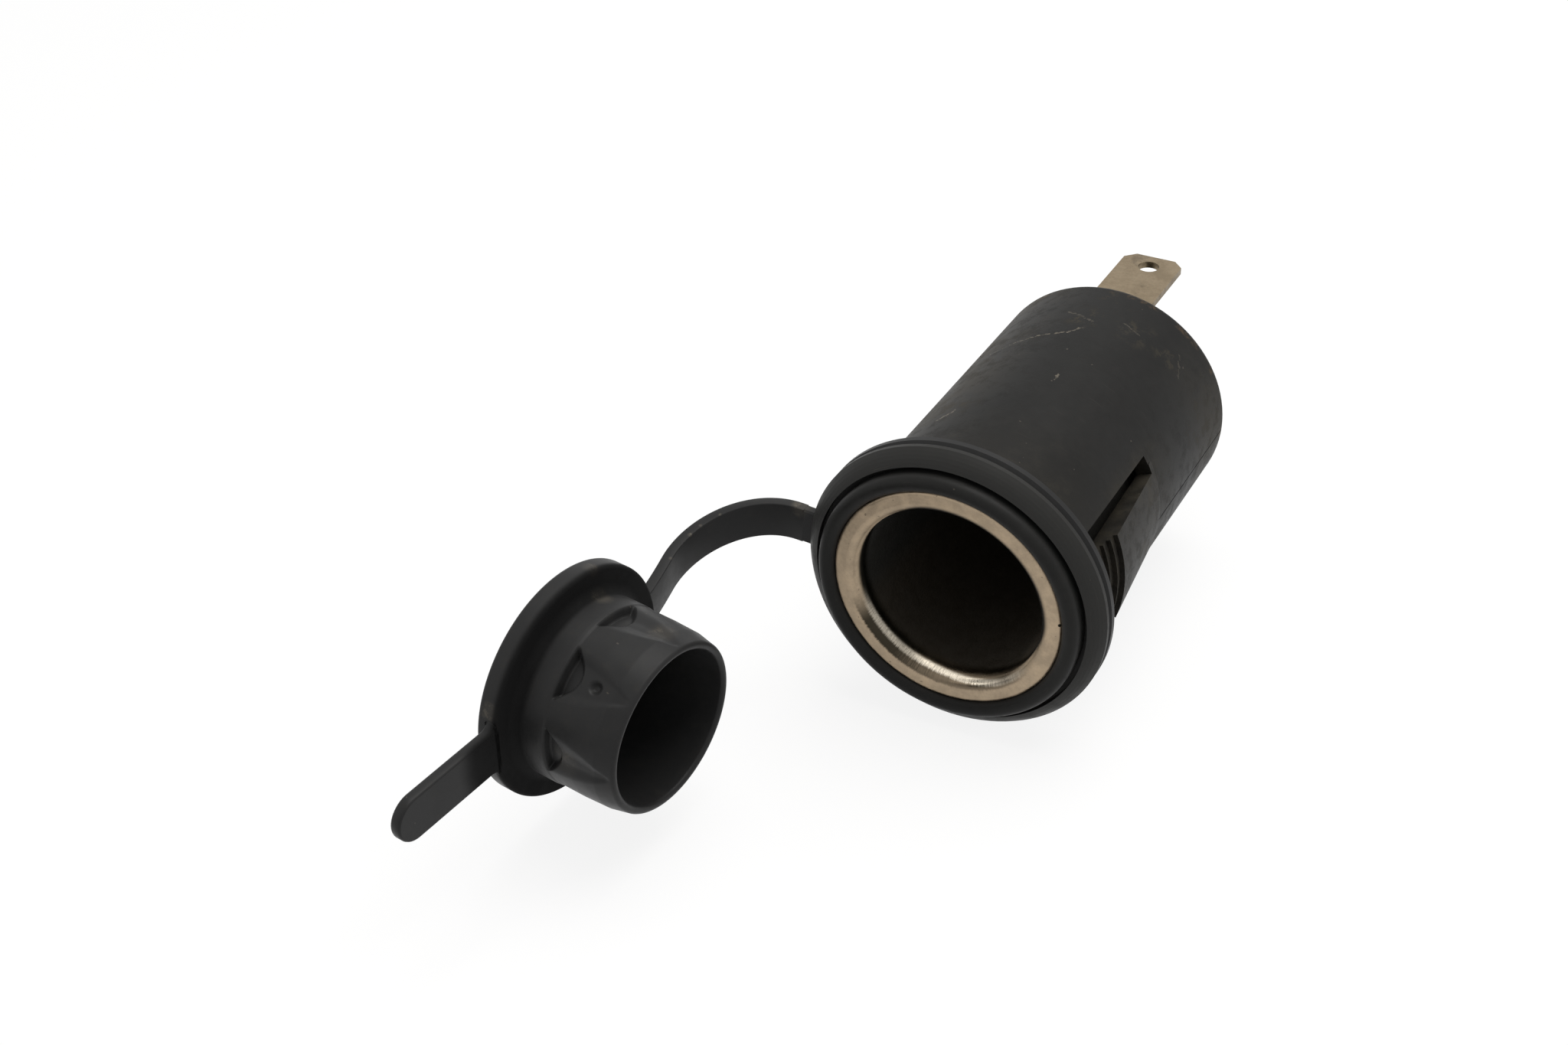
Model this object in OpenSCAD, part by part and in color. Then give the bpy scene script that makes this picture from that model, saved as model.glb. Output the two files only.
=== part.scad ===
// Snap-in 12 volt power socket with a tethered rubber cap.
// Millimetres. The socket's axis is Y: the mouth faces -Y and the terminals point to +Y.
// The origin is on that axis, in the plane of the panel face that the rubber ring seats on.

/* [Well] */
// Bore of the metal well
bore_d = 21; // [20.9:0.05:21.1]
// Depth of the well from the front of its rim to its floor
well_depth = 38; // [36:0.1:45]
// Sheet thickness of the well
well_t = 0.8; // [0.6:0.05:1]
// Width of the well's rim outside its bore
rim_w = 2.45; // [2.1:0.05:3]
// Radius of the rolled lead-in at the well's mouth
lead_in_r = 1.1; // [0.8:0.1:1.3]
// Radius inside the well's bottom corner
floor_r = 2.6; // [1.5:0.1:2.8]

/* [Barrel] */
// Air gap between the well and the barrel's wall
air_gap = 1.15; // [0.9:0.05:1.5]
// Wall thickness of the barrel
barrel_wall = 1.8; // [1.4:0.1:2.2]
// Free length inside the barrel behind the centre rivet
rear_room = 1.75; // [0.8:0.05:6]
// Thickness of the wall that closes the barrel's rear end
rear_wall = 1.8; // [1.2:0.1:2.4]
// Rounding of the barrel's rear edge
rear_round = 0.8; // [0.3:0.1:1.1]
// Number of ribs inside the barrel that hold the well
rib_count = 4; // [4:4:8]
// Thickness of each rib
rib_w = 1.4; // [1:0.1:1.8]

/* [Flange and bead] */
// Radius of the bead's round section, which borders the metal rim
bead_r = 0.95; // [0.85:0.05:1.3]
// Height that the bead stands in front of the metal rim
bead_proud = 0.6; // [0.3:0.05:0.8]
// Width of the groove between the bead and the flange's face
groove_w = 0.55; // [0.3:0.05:0.8]
// Depth of that groove
groove_depth = 0.9; // [0.5:0.1:1.2]
// Width of the flange's sloping face outside the groove
face_w = 1.6; // [1.2:0.1:4]
// Rise of the sloping face from the flange's rim to the groove
flange_slope = 1.5; // [1.0:0.1:2]
// Bulge of the sloping face
flange_dome = 0.12; // [0.05:0.01:0.2]
// Height of the flange's straight rim
flange_rim_t = 0.85; // [0.6:0.05:1.4]
// Height of the metal rim in front of the sloping face's inner edge
rim_step = 0.75; // [0.5:0.05:0.9]
// Bevel along the edges of the flange and of the rubber ring
edge_r = 0.35; // [0.2:0.05:0.4]

/* [Snap fingers] */
// Angle that each snap finger spans round the barrel
finger_angle = 40; // [30:1:46]
// Angle of the slot along each side of a finger
slot_angle = 9; // [7:0.5:12]
// Distance from the panel face to a finger's free end
finger_tip_y = 1.5; // [1.3:0.1:2]
// Gap in front of a finger's free end
finger_gap = 1.2; // [0.8:0.1:1.25]
// Length of a finger from its free end to its root
finger_len = 17.5; // [15:0.1:20]
// Length of the ramp on the barrel behind the root
ramp_lead = 0.8; // [0.4:0.1:1.5]
// Distance from a finger's free end to its first stair step
step_in = 2.85; // [2:0.05:4]
// Distance between stair steps, one for each panel thickness
step_pitch = 0.97; // [0.8:0.01:1.2]
// Number of stair steps
step_count = 3; // [2:1:4]
// Height of each stair step
step_h = 0.42; // [0.3:0.01:0.5]
// Fall of each tread towards the next step, which lets the panel's edge catch
step_rake = 0.12; // [0.05:0.01:0.2]
// Relief inside a finger's free end, which lets it bend inward
finger_relief = 0.8; // [0.3:0.1:0.8]

/* [Contacts] */
// Diameter of the contact disc at the bottom of the well
contact_d = 9; // [8:0.1:10]
// Thickness of the contact disc
contact_t = 0.8; // [0.5:0.1:1]
// Thickness of the insulating washer in front of the well's floor
inner_washer_t = 1; // [0.8:0.1:1.3]
// Diameter of that washer
inner_washer_d = 10.6; // [9.6:0.1:10.8]
// Thickness of the shoulder washer behind the well's floor
shoulder_washer_t = 1.1; // [0.9:0.1:1.2]
// Diameter of the shoulder washer
shoulder_washer_d = 9.2; // [8:0.1:9.4]
// Diameter of the shoulder washer's sleeve
sleeve_d = 5.2; // [4.8:0.1:5.6]
// Shank diameter of the centre rivet
rivet_d = 3; // [2.6:0.1:3.2]
// Head diameter of the centre rivet
rivet_head_d = 5.4; // [4.8:0.1:6]
// Head height of the centre rivet
rivet_head_t = 0.7; // [0.5:0.05:0.8]

/* [Terminals] */
// Width of each blade terminal
blade_w = 7.2; // [6.3:0.1:7.4]
// Sheet thickness of each blade terminal
blade_t = 0.8; // [0.6:0.05:0.9]
// Length of each blade behind the barrel
blade_out = 13.4; // [10:0.1:15]
// Height of the centre blade below the socket's axis
centre_blade_z = 4.4; // [4:0.1:5]
// Corner cut at each blade's tip
blade_cut = 1.2; // [0.8:0.1:1.8]
// Diameter of the hole near each blade's tip
blade_hole_d = 2.5; // [1.2:0.1:2.6]
// Distance of that hole from the tip
blade_hole_in = 2.5; // [2.2:0.1:3.5]
// Turn of both terminals round the socket's axis
terminal_turn = 2.5; // [0:0.5:5]
// Distance between the two ground rivets
ground_rivet_pitch = 3.8; // [3.6:0.1:4]
// Shank diameter of a ground rivet
ground_rivet_d = 1.6; // [1.2:0.1:1.8]
// Head diameter of a ground rivet
ground_rivet_head_d = 2.4; // [2:0.1:2.6]
// Head height of a ground rivet
ground_rivet_head_t = 0.5; // [0.3:0.05:0.7]

/* [Rubber ring and strap] */
// Thickness of the rubber ring
ring_t = 1.35; // [1.1:0.05:1.5]
// Turn of the ring on the barrel, which lifts the strap's root
ring_turn = 7; // [0:0.5:10]
// Width of the strap
strap_w = 4.3; // [3:0.1:4.6]
// Thickness of the strap and of the pull tab
strap_t = 1.2; // [0.9:0.05:1.3]
// Straight length of the strap where it leaves the ring
strap_lead = 1.7; // [1:0.1:4]
// Radius of the strap's main bend
strap_bend_r = 7.9; // [6:0.1:9]
// Angle of the strap's main bend
strap_bend = 96; // [85:1:100]
// Straight length between the two bends
strap_straight = 4.5; // [3:0.1:10]
// Radius of the strap's counter bend at the cap
strap_back_r = 12; // [8:0.5:20]
// Angle of that counter bend
strap_back = 12.1; // [4:0.1:14]
// Length of the stub that joins the strap to the ring, and to the cap
stub_len = 1.5; // [1:0.1:2]
// Corner cut along the strap's four edges
strap_cut = 0.2; // [0.1:0.05:0.3]
// Depth to which the strap sags at the cap, below the socket's axis
strap_sag = 1; // [0:0.1:2]

/* [Cap] */
// Width of the cap's flange outside its neck
cap_overhang = 2.8; // [1.5:0.1:4]
// Thickness of the cap's flange
cap_t = 2.35; // [2:0.05:3]
// Rounding of the flange's edges
cap_round = 0.45; // [0.2:0.05:0.55]
// Length of the plug from the flange to its mouth
plug_len = 11.9; // [10:0.1:14]
// Play between the plug's neck and the well's bore
plug_play = 0.65; // [0.3:0.05:0.9]
// Length of the neck beside the flange
neck_len = 3.7; // [3:0.1:4.5]
// Fillet between the flange and the neck
neck_fillet = 0.5; // [0.3:0.1:0.9]
// Depth of the crease between the neck and the plug's body
crease_depth = 0.3; // [0.1:0.05:0.4]
// Step from the neck down to the plug's body
neck_step = 0.12; // [0.05:0.01:0.2]
// Length over which the body keeps its diameter
body_straight = 3.2; // [2:0.1:4]
// Height that the body narrows towards its mouth
mouth_taper = 0.6; // [0.4:0.05:1]
// Length of the faster taper beside the mouth
mouth_run = 2.2; // [1.5:0.1:3]
// Bulge of the body where the faster taper starts
mouth_dome = 0.12; // [0.05:0.01:0.2]
// Wall thickness at the mouth
lip_t = 0.9; // [0.6:0.05:1]
// Narrowing of the plug's hollow from its mouth to its bottom
hollow_draft = 0.4; // [0.1:0.05:0.6]
// Number of leaf-shaped recesses round the plug
leaf_count = 7; // [5:1:8]
// Width of each recess at the neck
leaf_w = 4.4; // [3:0.1:4.8]
// Depth of each recess at the neck
leaf_depth = 0.6; // [0.3:0.05:0.7]
// Length of each recess
leaf_len = 7.9; // [6:0.1:8]
// Width of the deeper pocket at the wide end of each recess
pocket_w = 3.9; // [2.4:0.1:4]
// Depth of that pocket
pocket_depth = 1; // [0.7:0.05:1.1]
// Length of that pocket
pocket_len = 1.6; // [0.8:0.1:2]
// Diameter of the round dimple in one recess
dimple_d = 1.9; // [1.2:0.1:2.2]
// Depth of the dimple
dimple_depth = 0.75; // [0.5:0.05:0.9]
// Distance of the dimple from the end of the neck
dimple_in = 3.4; // [2.5:0.1:4]
// Width of the pull tab
tab_w = 5.1; // [4:0.1:6.5]
// Distance of the pull tab's end from the cap's axis
tab_reach = 25.9; // [22:0.1:31]
// Fillet where the pull tab leaves the flange
tab_fillet = 1.1; // [0.5:0.1:1.5]
// Angle by which the hanging cap's plug points down
plug_dip = 5.2; // [0:0.1:9]

/* [Clearances] */
// Gap between pieces that turn or slide on each other
running_gap = 0.05; // [0.03:0.01:0.1]
// Gap round pieces that pass through a hole with play
pass_gap = 0.2; // [0.1:0.05:0.3]

/* [Hidden] */
$fn = 96;
// Radii from the well outward
bore_r = bore_d / 2;
well_r = bore_r + well_t;
rim_r = bore_r + rim_w;
bead_c = rim_r + bead_r;
face_in_r = bead_c + bead_r + groove_w;
flange_r = face_in_r + face_w;
barrel_in = well_r + air_gap;
barrel_r = barrel_in + barrel_wall;
// Places along the axis, from the panel face forward
flange_back_y = -ring_t - running_gap;
flange_front_y = flange_back_y - flange_rim_t;
face_in_y = flange_front_y - flange_slope;
groove_y = face_in_y + groove_depth;
rim_y = face_in_y - rim_step;
rim_seat_y = rim_y + well_t;
bead_y = rim_y + bead_r - bead_proud;
// Places along the axis, from the panel face backward
floor_y = rim_y + well_depth;
floor_back_y = floor_y + well_t;
rear_in_y = floor_back_y + shoulder_washer_t + blade_t + rivet_head_t + rear_room;
barrel_len = rear_in_y + rear_wall;
// Front land that guides the well, and the ribs that hold it further back
land_len = 2.45;
land_r = well_r + running_gap;
land_end_y = groove_y + land_len;
rib_bite = 0.3;
rib_lead = 1.7;
// Stack on the well's floor, front to back
washer_front_y = floor_y - inner_washer_t;
contact_front_y = washer_front_y - contact_t;
shoulder_back_y = floor_back_y + shoulder_washer_t;
centre_foot_back_y = shoulder_back_y + blade_t;
ground_foot_back_y = floor_back_y + blade_t;
blade_tip_y = barrel_len + blade_out;
// Bevel of the contact disc's raised face, across and along the axis
contact_bevel = [0.5, 0.4];
// Clenched end of the centre rivet, as shares of its head's radius and height
clench = [[0.85, 0], [0.8, 0.6], [0.45, 1], [0, 0.6]];
// Length by which the shoulder washer's sleeve reaches past the well's floor into the washer
sleeve_bite = 0.2;
// Margin of each terminal's foot beyond its rivet's head
foot_margin = 0.4;
// The ground blade lies as high as the barrel's inside lets the corners of its slot go
ground_slot_top = sqrt(pow(barrel_in - running_gap, 2) - pow(blade_w / 2 + pass_gap, 2));
ground_blade_z = ground_slot_top - pass_gap - blade_t / 2;
// The ground rivets lie as far out as the well's rounded bottom corner lets their heads go
ground_rivet_reach = bore_r - floor_r - ground_rivet_head_d / 2 - running_gap;
ground_rivet_z = sqrt(pow(ground_rivet_reach, 2) - pow(ground_rivet_pitch / 2, 2));
// Snap fingers
finger_root_y = finger_tip_y + finger_len;
first_step_y = finger_tip_y + step_in;
rib_start_y = finger_root_y + ramp_lead + rib_lead;
stair_r = [for (i = [0:step_count]) barrel_r + i * step_h];
last_step_y = first_step_y + (step_count - 1) * step_pitch;
window_y0 = finger_tip_y - finger_gap;
// Cap
neck_r = bore_r - plug_play;
cap_r = neck_r + cap_overhang;
body_r = neck_r - neck_step;
mouth_r = neck_r - mouth_taper;
plug_bore_r = mouth_r - lip_t;
lip_round = lip_t * 0.4;
// Length that the leaf recesses reach into the flank of the crease
leaf_back = 0.14;
// Strap route seen from above: one point, heading and length from the ring at each station
ring_mid_y = -ring_t / 2;
lead_x = -(flange_r + stub_len) * cos(ring_turn);
bend_x = lead_x - strap_lead;
bend_c = [bend_x, ring_mid_y - strap_bend_r];
bend_end = bend_c + strap_bend_r * [cos(90 + strap_bend), sin(90 + strap_bend)];
straight_dir = 180 + strap_bend;
back_start = bend_end + strap_straight * [cos(straight_dir), sin(straight_dir)];
back_c = back_start + strap_back_r * [cos(straight_dir - 90), sin(straight_dir - 90)];
cap_dir = straight_dir - strap_back;
strap_end = back_c + strap_back_r * [cos(cap_dir + 90), sin(cap_dir + 90)];
cap_c = strap_end + (cap_r + stub_len) * [cos(cap_dir), sin(cap_dir)];
// Turn of the cap from its place in front of the mouth
cap_turn = cap_dir - 360;
strap_rise = -lead_x * tan(ring_turn);
// Lengths along the strap up to each of its sections
bend_len = strap_bend_r * strap_bend * PI / 180;
back_len = strap_back_r * strap_back * PI / 180;
strap_len = strap_lead + bend_len + strap_straight + back_len;
// Section of the strap across its thickness and its width
strap_x = strap_t / 2;
strap_z = strap_w / 2;
strap_outline = [
    [strap_x, strap_z - strap_cut], [strap_x - strap_cut, strap_z],
    [strap_cut - strap_x, strap_z], [-strap_x, strap_z - strap_cut],
    [-strap_x, strap_cut - strap_z], [strap_cut - strap_x, -strap_z],
    [strap_x - strap_cut, -strap_z], [strap_x, strap_cut - strap_z]];
bend_steps = 16;
back_steps = 4;
route = concat(
    [[lead_x, ring_mid_y, 180, 0]],
    [for (i = [0:bend_steps])
        let (a = strap_bend * i / bend_steps)
        [bend_c[0] + strap_bend_r * cos(90 + a), bend_c[1] + strap_bend_r * sin(90 + a), 180 + a,
            strap_lead + bend_len * i / bend_steps]],
    [for (i = [0:back_steps])
        let (a = straight_dir - strap_back * i / back_steps)
        [back_c[0] + strap_back_r * cos(a + 90), back_c[1] + strap_back_r * sin(a + 90), a,
            strap_len - back_len * (1 - i / back_steps)]]);

// Revolves a profile of radius and Y about the socket's axis
module turned(angle = 360) {
    rotate([-90, 0, 0])
        rotate_extrude(angle = angle)
            children();
}

// Ring sector round the socket's axis, centred on the +X side
module sector(r0, r1, y0, y1, angle) {
    rotate([0, -angle / 2, 0])
        turned(angle) translate([r0, y0]) square([r1 - r0, y1 - y0]);
}

// Raised stairs and ramp on a finger, sunk into the barrel's wall
module stair_profile() {
    root_r = barrel_r - barrel_wall / 3;
    ramp_end_y = finger_root_y + ramp_lead;
    slope = (stair_r[step_count] - barrel_r) / (ramp_end_y - last_step_y);
    polygon(concat(
        [[root_r, first_step_y]],
        [for (i = [0:step_count - 2]) each [
            [stair_r[i + 1], first_step_y + i * step_pitch],
            [stair_r[i + 1] - step_rake, first_step_y + (i + 1) * step_pitch]]],
        [[stair_r[step_count], last_step_y]],
        [[root_r, ramp_end_y + (barrel_r - root_r) / slope]]));
}

// Hollow inside a finger that thins it towards its free end
module relief_profile() {
    start_r = barrel_in - running_gap;
    slope = finger_relief / (finger_root_y - finger_tip_y);
    start_y = finger_root_y + (barrel_in - start_r) / slope;
    polygon([[start_r, window_y0], [barrel_in + slope * (finger_root_y - window_y0), window_y0],
        [start_r, start_y]]);
}

// U-shaped slot that cuts a finger free along its sides and its end
module finger_slot() {
    difference() {
        sector(barrel_in - 0.5, flange_r, window_y0, finger_root_y, finger_angle + 2 * slot_angle);
        sector(barrel_in - 1, flange_r + 1, finger_tip_y, finger_root_y + 1, finger_angle);
    }
}

// Revolves a profile through a sector that ends in the middle of the slots beside a finger
module over_finger() {
    angle = finger_angle + slot_angle;
    rotate([0, -angle / 2, 0]) turned(angle) children();
}

module housing_profile() {
    difference() {
        union() {
            // Barrel with its rounded rear edge
            polygon(concat(
                [[0, rim_seat_y], [barrel_r, rim_seat_y]],
                [for (a = [0:15:90]) [
                    barrel_r - rear_round * (1 - cos(a)), barrel_len - rear_round * (1 - sin(a))]],
                [[0, barrel_len]]));
            // Flange with a sloping, slightly domed face
            polygon(concat(
                [[rim_r, groove_y], [face_in_r, groove_y], [face_in_r, face_in_y]],
                [for (t = [0.2:0.2:1]) [
                    face_in_r + face_w * t + flange_dome * sin(180 * t),
                    face_in_y + flange_slope * t - flange_dome * sin(180 * t)]],
                [[flange_r, flange_back_y - edge_r], [flange_r - edge_r, flange_back_y],
                    [rim_r, flange_back_y]]));
            // Bead round the metal rim
            translate([bead_c, bead_y]) circle(r = bead_r);
            translate([rim_r, bead_y]) square([2 * (bead_c - rim_r), groove_y - bead_y]);
        }
        // Seat of the metal rim
        translate([0, rim_y - 2]) square([rim_r, rim_seat_y - rim_y + 2]);
        // Clearance for the well through the front land, opening out inside the barrel
        translate([0, rim_y]) square([land_r, land_end_y - rim_y + 1]);
        translate([0, land_end_y]) square([barrel_in, rear_in_y - land_end_y]);
    }
}

// Turns what belongs to the terminals round the socket's axis
module with_terminals() {
    rotate([0, terminal_turn, 0]) children();
}

module blade_slot(z) {
    w = blade_w + 2 * pass_gap;
    h = blade_t + 2 * pass_gap;
    translate([-w / 2, rear_in_y - 1, z - h / 2]) cube([w, rear_wall + 2, h]);
}

module housing() {
    color("#26272a") {
        difference() {
            union() {
                // The revolve starts at 60 degrees, between the fingers and the terminals' slots
                rotate([0, 60, 0]) turned() housing_profile();
                for (side = [0, 180])
                    rotate([0, side, 0]) over_finger() stair_profile();
            }
            for (side = [0, 180])
                rotate([0, side, 0]) {
                    over_finger() relief_profile();
                    finger_slot();
                }
            with_terminals() {
                blade_slot(ground_blade_z);
                blade_slot(-centre_blade_z);
            }
        }
        // Ribs inside the barrel that hold the well
        for (i = [0:rib_count - 1])
            rotate([0, (i + 0.5) * 360 / rib_count, 0])
                translate([well_r + running_gap, rib_start_y, -rib_w / 2])
                    cube([air_gap + rib_bite, rear_in_y - rib_start_y + rib_bite, rib_w]);
    }
}

module well_profile() {
    outer_lead = lead_in_r + well_t;
    difference() {
        union() {
            translate([0, rim_y + outer_lead]) square([well_r, floor_back_y - rim_y - outer_lead - floor_r - well_t]);
            translate([0, floor_y - floor_r]) square([well_r - floor_r - well_t, floor_r + well_t]);
            translate([well_r - floor_r - well_t, floor_y - floor_r]) circle(r = floor_r + well_t);
            // Flat rim and the material behind the rolled lead-in
            translate([0, rim_y]) square([rim_r - well_t / 2, well_t]);
            translate([rim_r - well_t / 2, rim_y + well_t / 2]) circle(r = well_t / 2);
            translate([0, rim_y]) square([well_r, outer_lead + 1]);
        }
        translate([-1, rim_y - 1]) square([bore_r + 1, well_depth + 1 - floor_r]);
        translate([-1, floor_y - floor_r - 1]) square([bore_r + 1 - floor_r, floor_r + 1]);
        intersection() {
            translate([bore_r - floor_r, floor_y - floor_r]) circle(r = floor_r);
            translate([0, floor_y - floor_r]) square([bore_r, floor_r]);
        }
        // Rolled lead-in at the mouth
        difference() {
            translate([bore_r - 1, rim_y - 1]) square([lead_in_r + 1, lead_in_r + 1]);
            translate([bore_r + lead_in_r, rim_y + lead_in_r]) circle(r = lead_in_r);
        }
    }
}

module along_y(r, y0, y1) {
    translate([0, y0, 0]) rotate([-90, 0, 0]) cylinder(r = r, h = y1 - y0);
}

module ground_rivet_places() {
    with_terminals()
        for (side = [-1, 1])
            translate([side * ground_rivet_pitch / 2, 0, ground_rivet_z]) children();
}

module well() {
    color("#b9b2a4")
        difference() {
            turned() intersection() {
                well_profile();
                translate([0, rim_y - 1]) square([rim_r + 1, well_depth + 3]);
            }
            along_y(sleeve_d / 2 + running_gap, floor_y - 1, floor_back_y + 1);
            ground_rivet_places() along_y(ground_rivet_d / 2, floor_y - 1, floor_back_y + 1);
        }
}

module contact_disc() {
    // Disc with a raised, rounded contact face and a hole for the rivet
    color("#b3a27c")
        turned() difference() {
            polygon([[0, contact_front_y], [contact_d / 2 - contact_bevel[0], contact_front_y],
                [contact_d / 2, contact_front_y + contact_bevel[1]],
                [contact_d / 2, washer_front_y], [0, washer_front_y]]);
            translate([-1, contact_front_y - 1]) square([rivet_d / 2 + 1, contact_t + 2]);
        }
}

module inner_washer() {
    color("#7a5a3a")
        turned() translate([rivet_d / 2 + running_gap, washer_front_y])
            square([inner_washer_d / 2 - rivet_d / 2 - running_gap, inner_washer_t]);
}

module shoulder_washer() {
    color("#7a5a3a")
        turned() {
            translate([rivet_d / 2 + running_gap, floor_y])
                square([sleeve_d / 2 - rivet_d / 2 - running_gap, well_t + sleeve_bite]);
            translate([rivet_d / 2 + running_gap, floor_back_y])
                square([shoulder_washer_d / 2 - rivet_d / 2 - running_gap, shoulder_washer_t]);
        }
}

module centre_rivet() {
    head_r = rivet_head_d / 2;
    color("#c2a35c")
        turned() {
            // Domed head on the contact disc, shank, and clenched end on the terminal's foot
            polygon(concat(
                [for (a = [90:-15:0]) [head_r * cos(a), contact_front_y - rivet_head_t * sin(a)]],
                [[rivet_d / 2, contact_front_y], [rivet_d / 2, centre_foot_back_y]],
                [for (c = clench) [head_r * c[0], centre_foot_back_y + rivet_head_t * c[1]]]));
        }
}

// Flat blade along Y with cut corners and a hole, its middle plane at height z
module blade(y0, z) {
    w = blade_w / 2;
    tip = blade_tip_y;
    translate([0, 0, z - blade_t / 2])
        linear_extrude(blade_t)
            difference() {
                polygon([[-w, y0], [w, y0], [w, tip - blade_cut], [w - blade_cut, tip],
                    [blade_cut - w, tip], [-w, tip - blade_cut]]);
                translate([0, tip - blade_hole_in]) circle(d = blade_hole_d);
            }
}

module centre_terminal() {
    foot_top = rivet_head_d / 2 + foot_margin;
    z = -centre_blade_z;
    color("#b9b2a4") with_terminals() {
        difference() {
            translate([-blade_w / 2, shoulder_back_y, z - blade_t / 2])
                cube([blade_w, blade_t, foot_top - z + blade_t / 2]);
            along_y(rivet_d / 2, shoulder_back_y - 1, centre_foot_back_y + 1);
        }
        blade(shoulder_back_y, z);
    }
}

module ground_terminal() {
    foot_low = ground_rivet_z - ground_rivet_head_d / 2 - foot_margin;
    color("#b9b2a4") {
        difference() {
            with_terminals()
                translate([-blade_w / 2, floor_back_y, foot_low])
                    cube([blade_w, blade_t, ground_blade_z + blade_t / 2 - foot_low]);
            ground_rivet_places() along_y(ground_rivet_d / 2, floor_back_y - 1, ground_foot_back_y + 1);
        }
        with_terminals() blade(floor_back_y, ground_blade_z);
    }
}

module ground_rivets() {
    color("#a9a396")
        ground_rivet_places() {
            along_y(ground_rivet_head_d / 2, floor_y - ground_rivet_head_t, floor_y);
            along_y(ground_rivet_d / 2, floor_y - 0.1, ground_foot_back_y + 0.1);
            along_y(ground_rivet_head_d / 2, ground_foot_back_y, ground_foot_back_y + ground_rivet_head_t);
        }
}

module cap_ring() {
    inner = barrel_r + running_gap;
    color("#202123") {
        turned()
            polygon([[inner, -ring_t], [flange_r - edge_r, -ring_t], [flange_r, -ring_t + edge_r],
                [flange_r, -edge_r], [flange_r - edge_r, 0], [inner, 0]]);
        rotate([0, ring_turn, 0])
            translate([-flange_r - stub_len, ring_mid_y, 0]) strap_stub(stub_len + 1);
    }
}

// Straight piece of strap that runs from the origin towards +X
module strap_stub(length) {
    rotate([90, 0, 90]) linear_extrude(length) polygon(strap_outline);
}

// Height of the strap: it leaves the ring rising, and sags to the cap, where it is level
function strap_height(t) =
    strap_rise * (2 * pow(t, 3) - 3 * pow(t, 2) + 1) - strap_sag * (3 * pow(t, 2) - 2 * pow(t, 3))
        + tan(ring_turn) * strap_len * t * pow(1 - t, 2);

// Eight-cornered section of the strap at one station of its route
function strap_section(station) =
    let (
        t = station[3] / strap_len,
        lean = (cap_dir - 270) * t,
        tilt = ring_turn + (plug_dip - ring_turn) * t,
        across = [sin(tilt) * cos(lean), sin(tilt) * sin(lean), cos(tilt)],
        side = cross([cos(station[2]), sin(station[2]), 0], across),
        out = side / norm(side))
    [for (c = strap_outline)
        [station[0], station[1], strap_height(t)] + c[0] * out + c[1] * across];

module cap_strap() {
    stations = len(route);
    points = [for (station = route) each strap_section(station)];
    sides = [for (i = [0:stations - 2], k = [0:7])
        [i * 8 + k, i * 8 + (k + 1) % 8, (i + 1) * 8 + (k + 1) % 8, (i + 1) * 8 + k]];
    ends = [[for (k = [7:-1:0]) k], [for (k = [0:7]) (stations - 1) * 8 + k]];
    color("#202123")
        polyhedron(points = points, faces = concat(sides, ends), convexity = 4);
}

// Cap in the place where it closes the mouth: plug towards +Y, strap side towards -X,
// with the plug side of its flange in the plane Y = 0
module cap_closed() {
    difference() {
        turned()
            difference() {
                union() {
                    polygon(concat(
                        [[0, -cap_t]],
                        [for (a = [-90:15:0]) [
                            cap_r - cap_round * (1 - cos(a)), cap_round - cap_t + cap_round * sin(a)]],
                        [for (a = [0:15:90]) [
                            cap_r - cap_round * (1 - cos(a)), -cap_round + cap_round * sin(a)]],
                        [[0, 0]]));
                    polygon(concat(
                        [[0, -cap_round]],
                        [for (a = [0:15:90]) [
                            neck_r + neck_fillet * (1 - sin(a)), neck_fillet * (1 - cos(a))]],
                        [[neck_r, neck_len - crease_depth], [neck_r - crease_depth, neck_len],
                            [body_r, neck_len + crease_depth], [body_r, neck_len + body_straight],
                            [(body_r + mouth_r) / 2 + mouth_dome, plug_len - mouth_run],
                            [mouth_r, plug_len - lip_round], [mouth_r - lip_round, plug_len],
                            [0, plug_len]]));
                }
                polygon([[-1, 0], [plug_bore_r - hollow_draft, 0], [plug_bore_r, plug_len],
                    [plug_bore_r, plug_len + 1], [-1, plug_len + 1]]);
            }
        for (i = [0:leaf_count - 1])
            rotate([0, i * 360 / leaf_count, 0]) leaf_cutter();
        // Dimple in the recess that faces up beside the pull tab
        rotate([0, -360 / leaf_count, 0])
            translate([body_r - dimple_depth, neck_len + dimple_in, 0])
                rotate([0, 90, 0]) cylinder(d = dimple_d, h = 2, $fn = 32);
    }
    // Stub of the strap
    translate([-cap_r - stub_len, -strap_t / 2, 0]) strap_stub(stub_len + 1);
    // Pull tab with a round end and filleted root
    fillet_y = tab_w / 2 + tab_fillet;
    fillet_x = sqrt(pow(cap_r + tab_fillet, 2) - pow(fillet_y, 2));
    rotate([90, 0, 0])
        linear_extrude(strap_t) {
            translate([cap_r - 1, -tab_w / 2]) square([tab_reach - tab_w / 2 - cap_r + 1, tab_w]);
            translate([tab_reach - tab_w / 2, 0]) circle(d = tab_w);
            difference() {
                polygon([[0, 0], [fillet_x, fillet_y], [fillet_x, -fillet_y]]);
                for (side = [-1, 1])
                    translate([fillet_x, side * fillet_y]) circle(r = tab_fillet);
            }
        }
}

// Radius of a round cutter that leaves a groove of this width and depth along the plug's body
function groove_cutter_r(width, depth) = 1 / (8 * depth / (width * width) - 1 / body_r);

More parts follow.
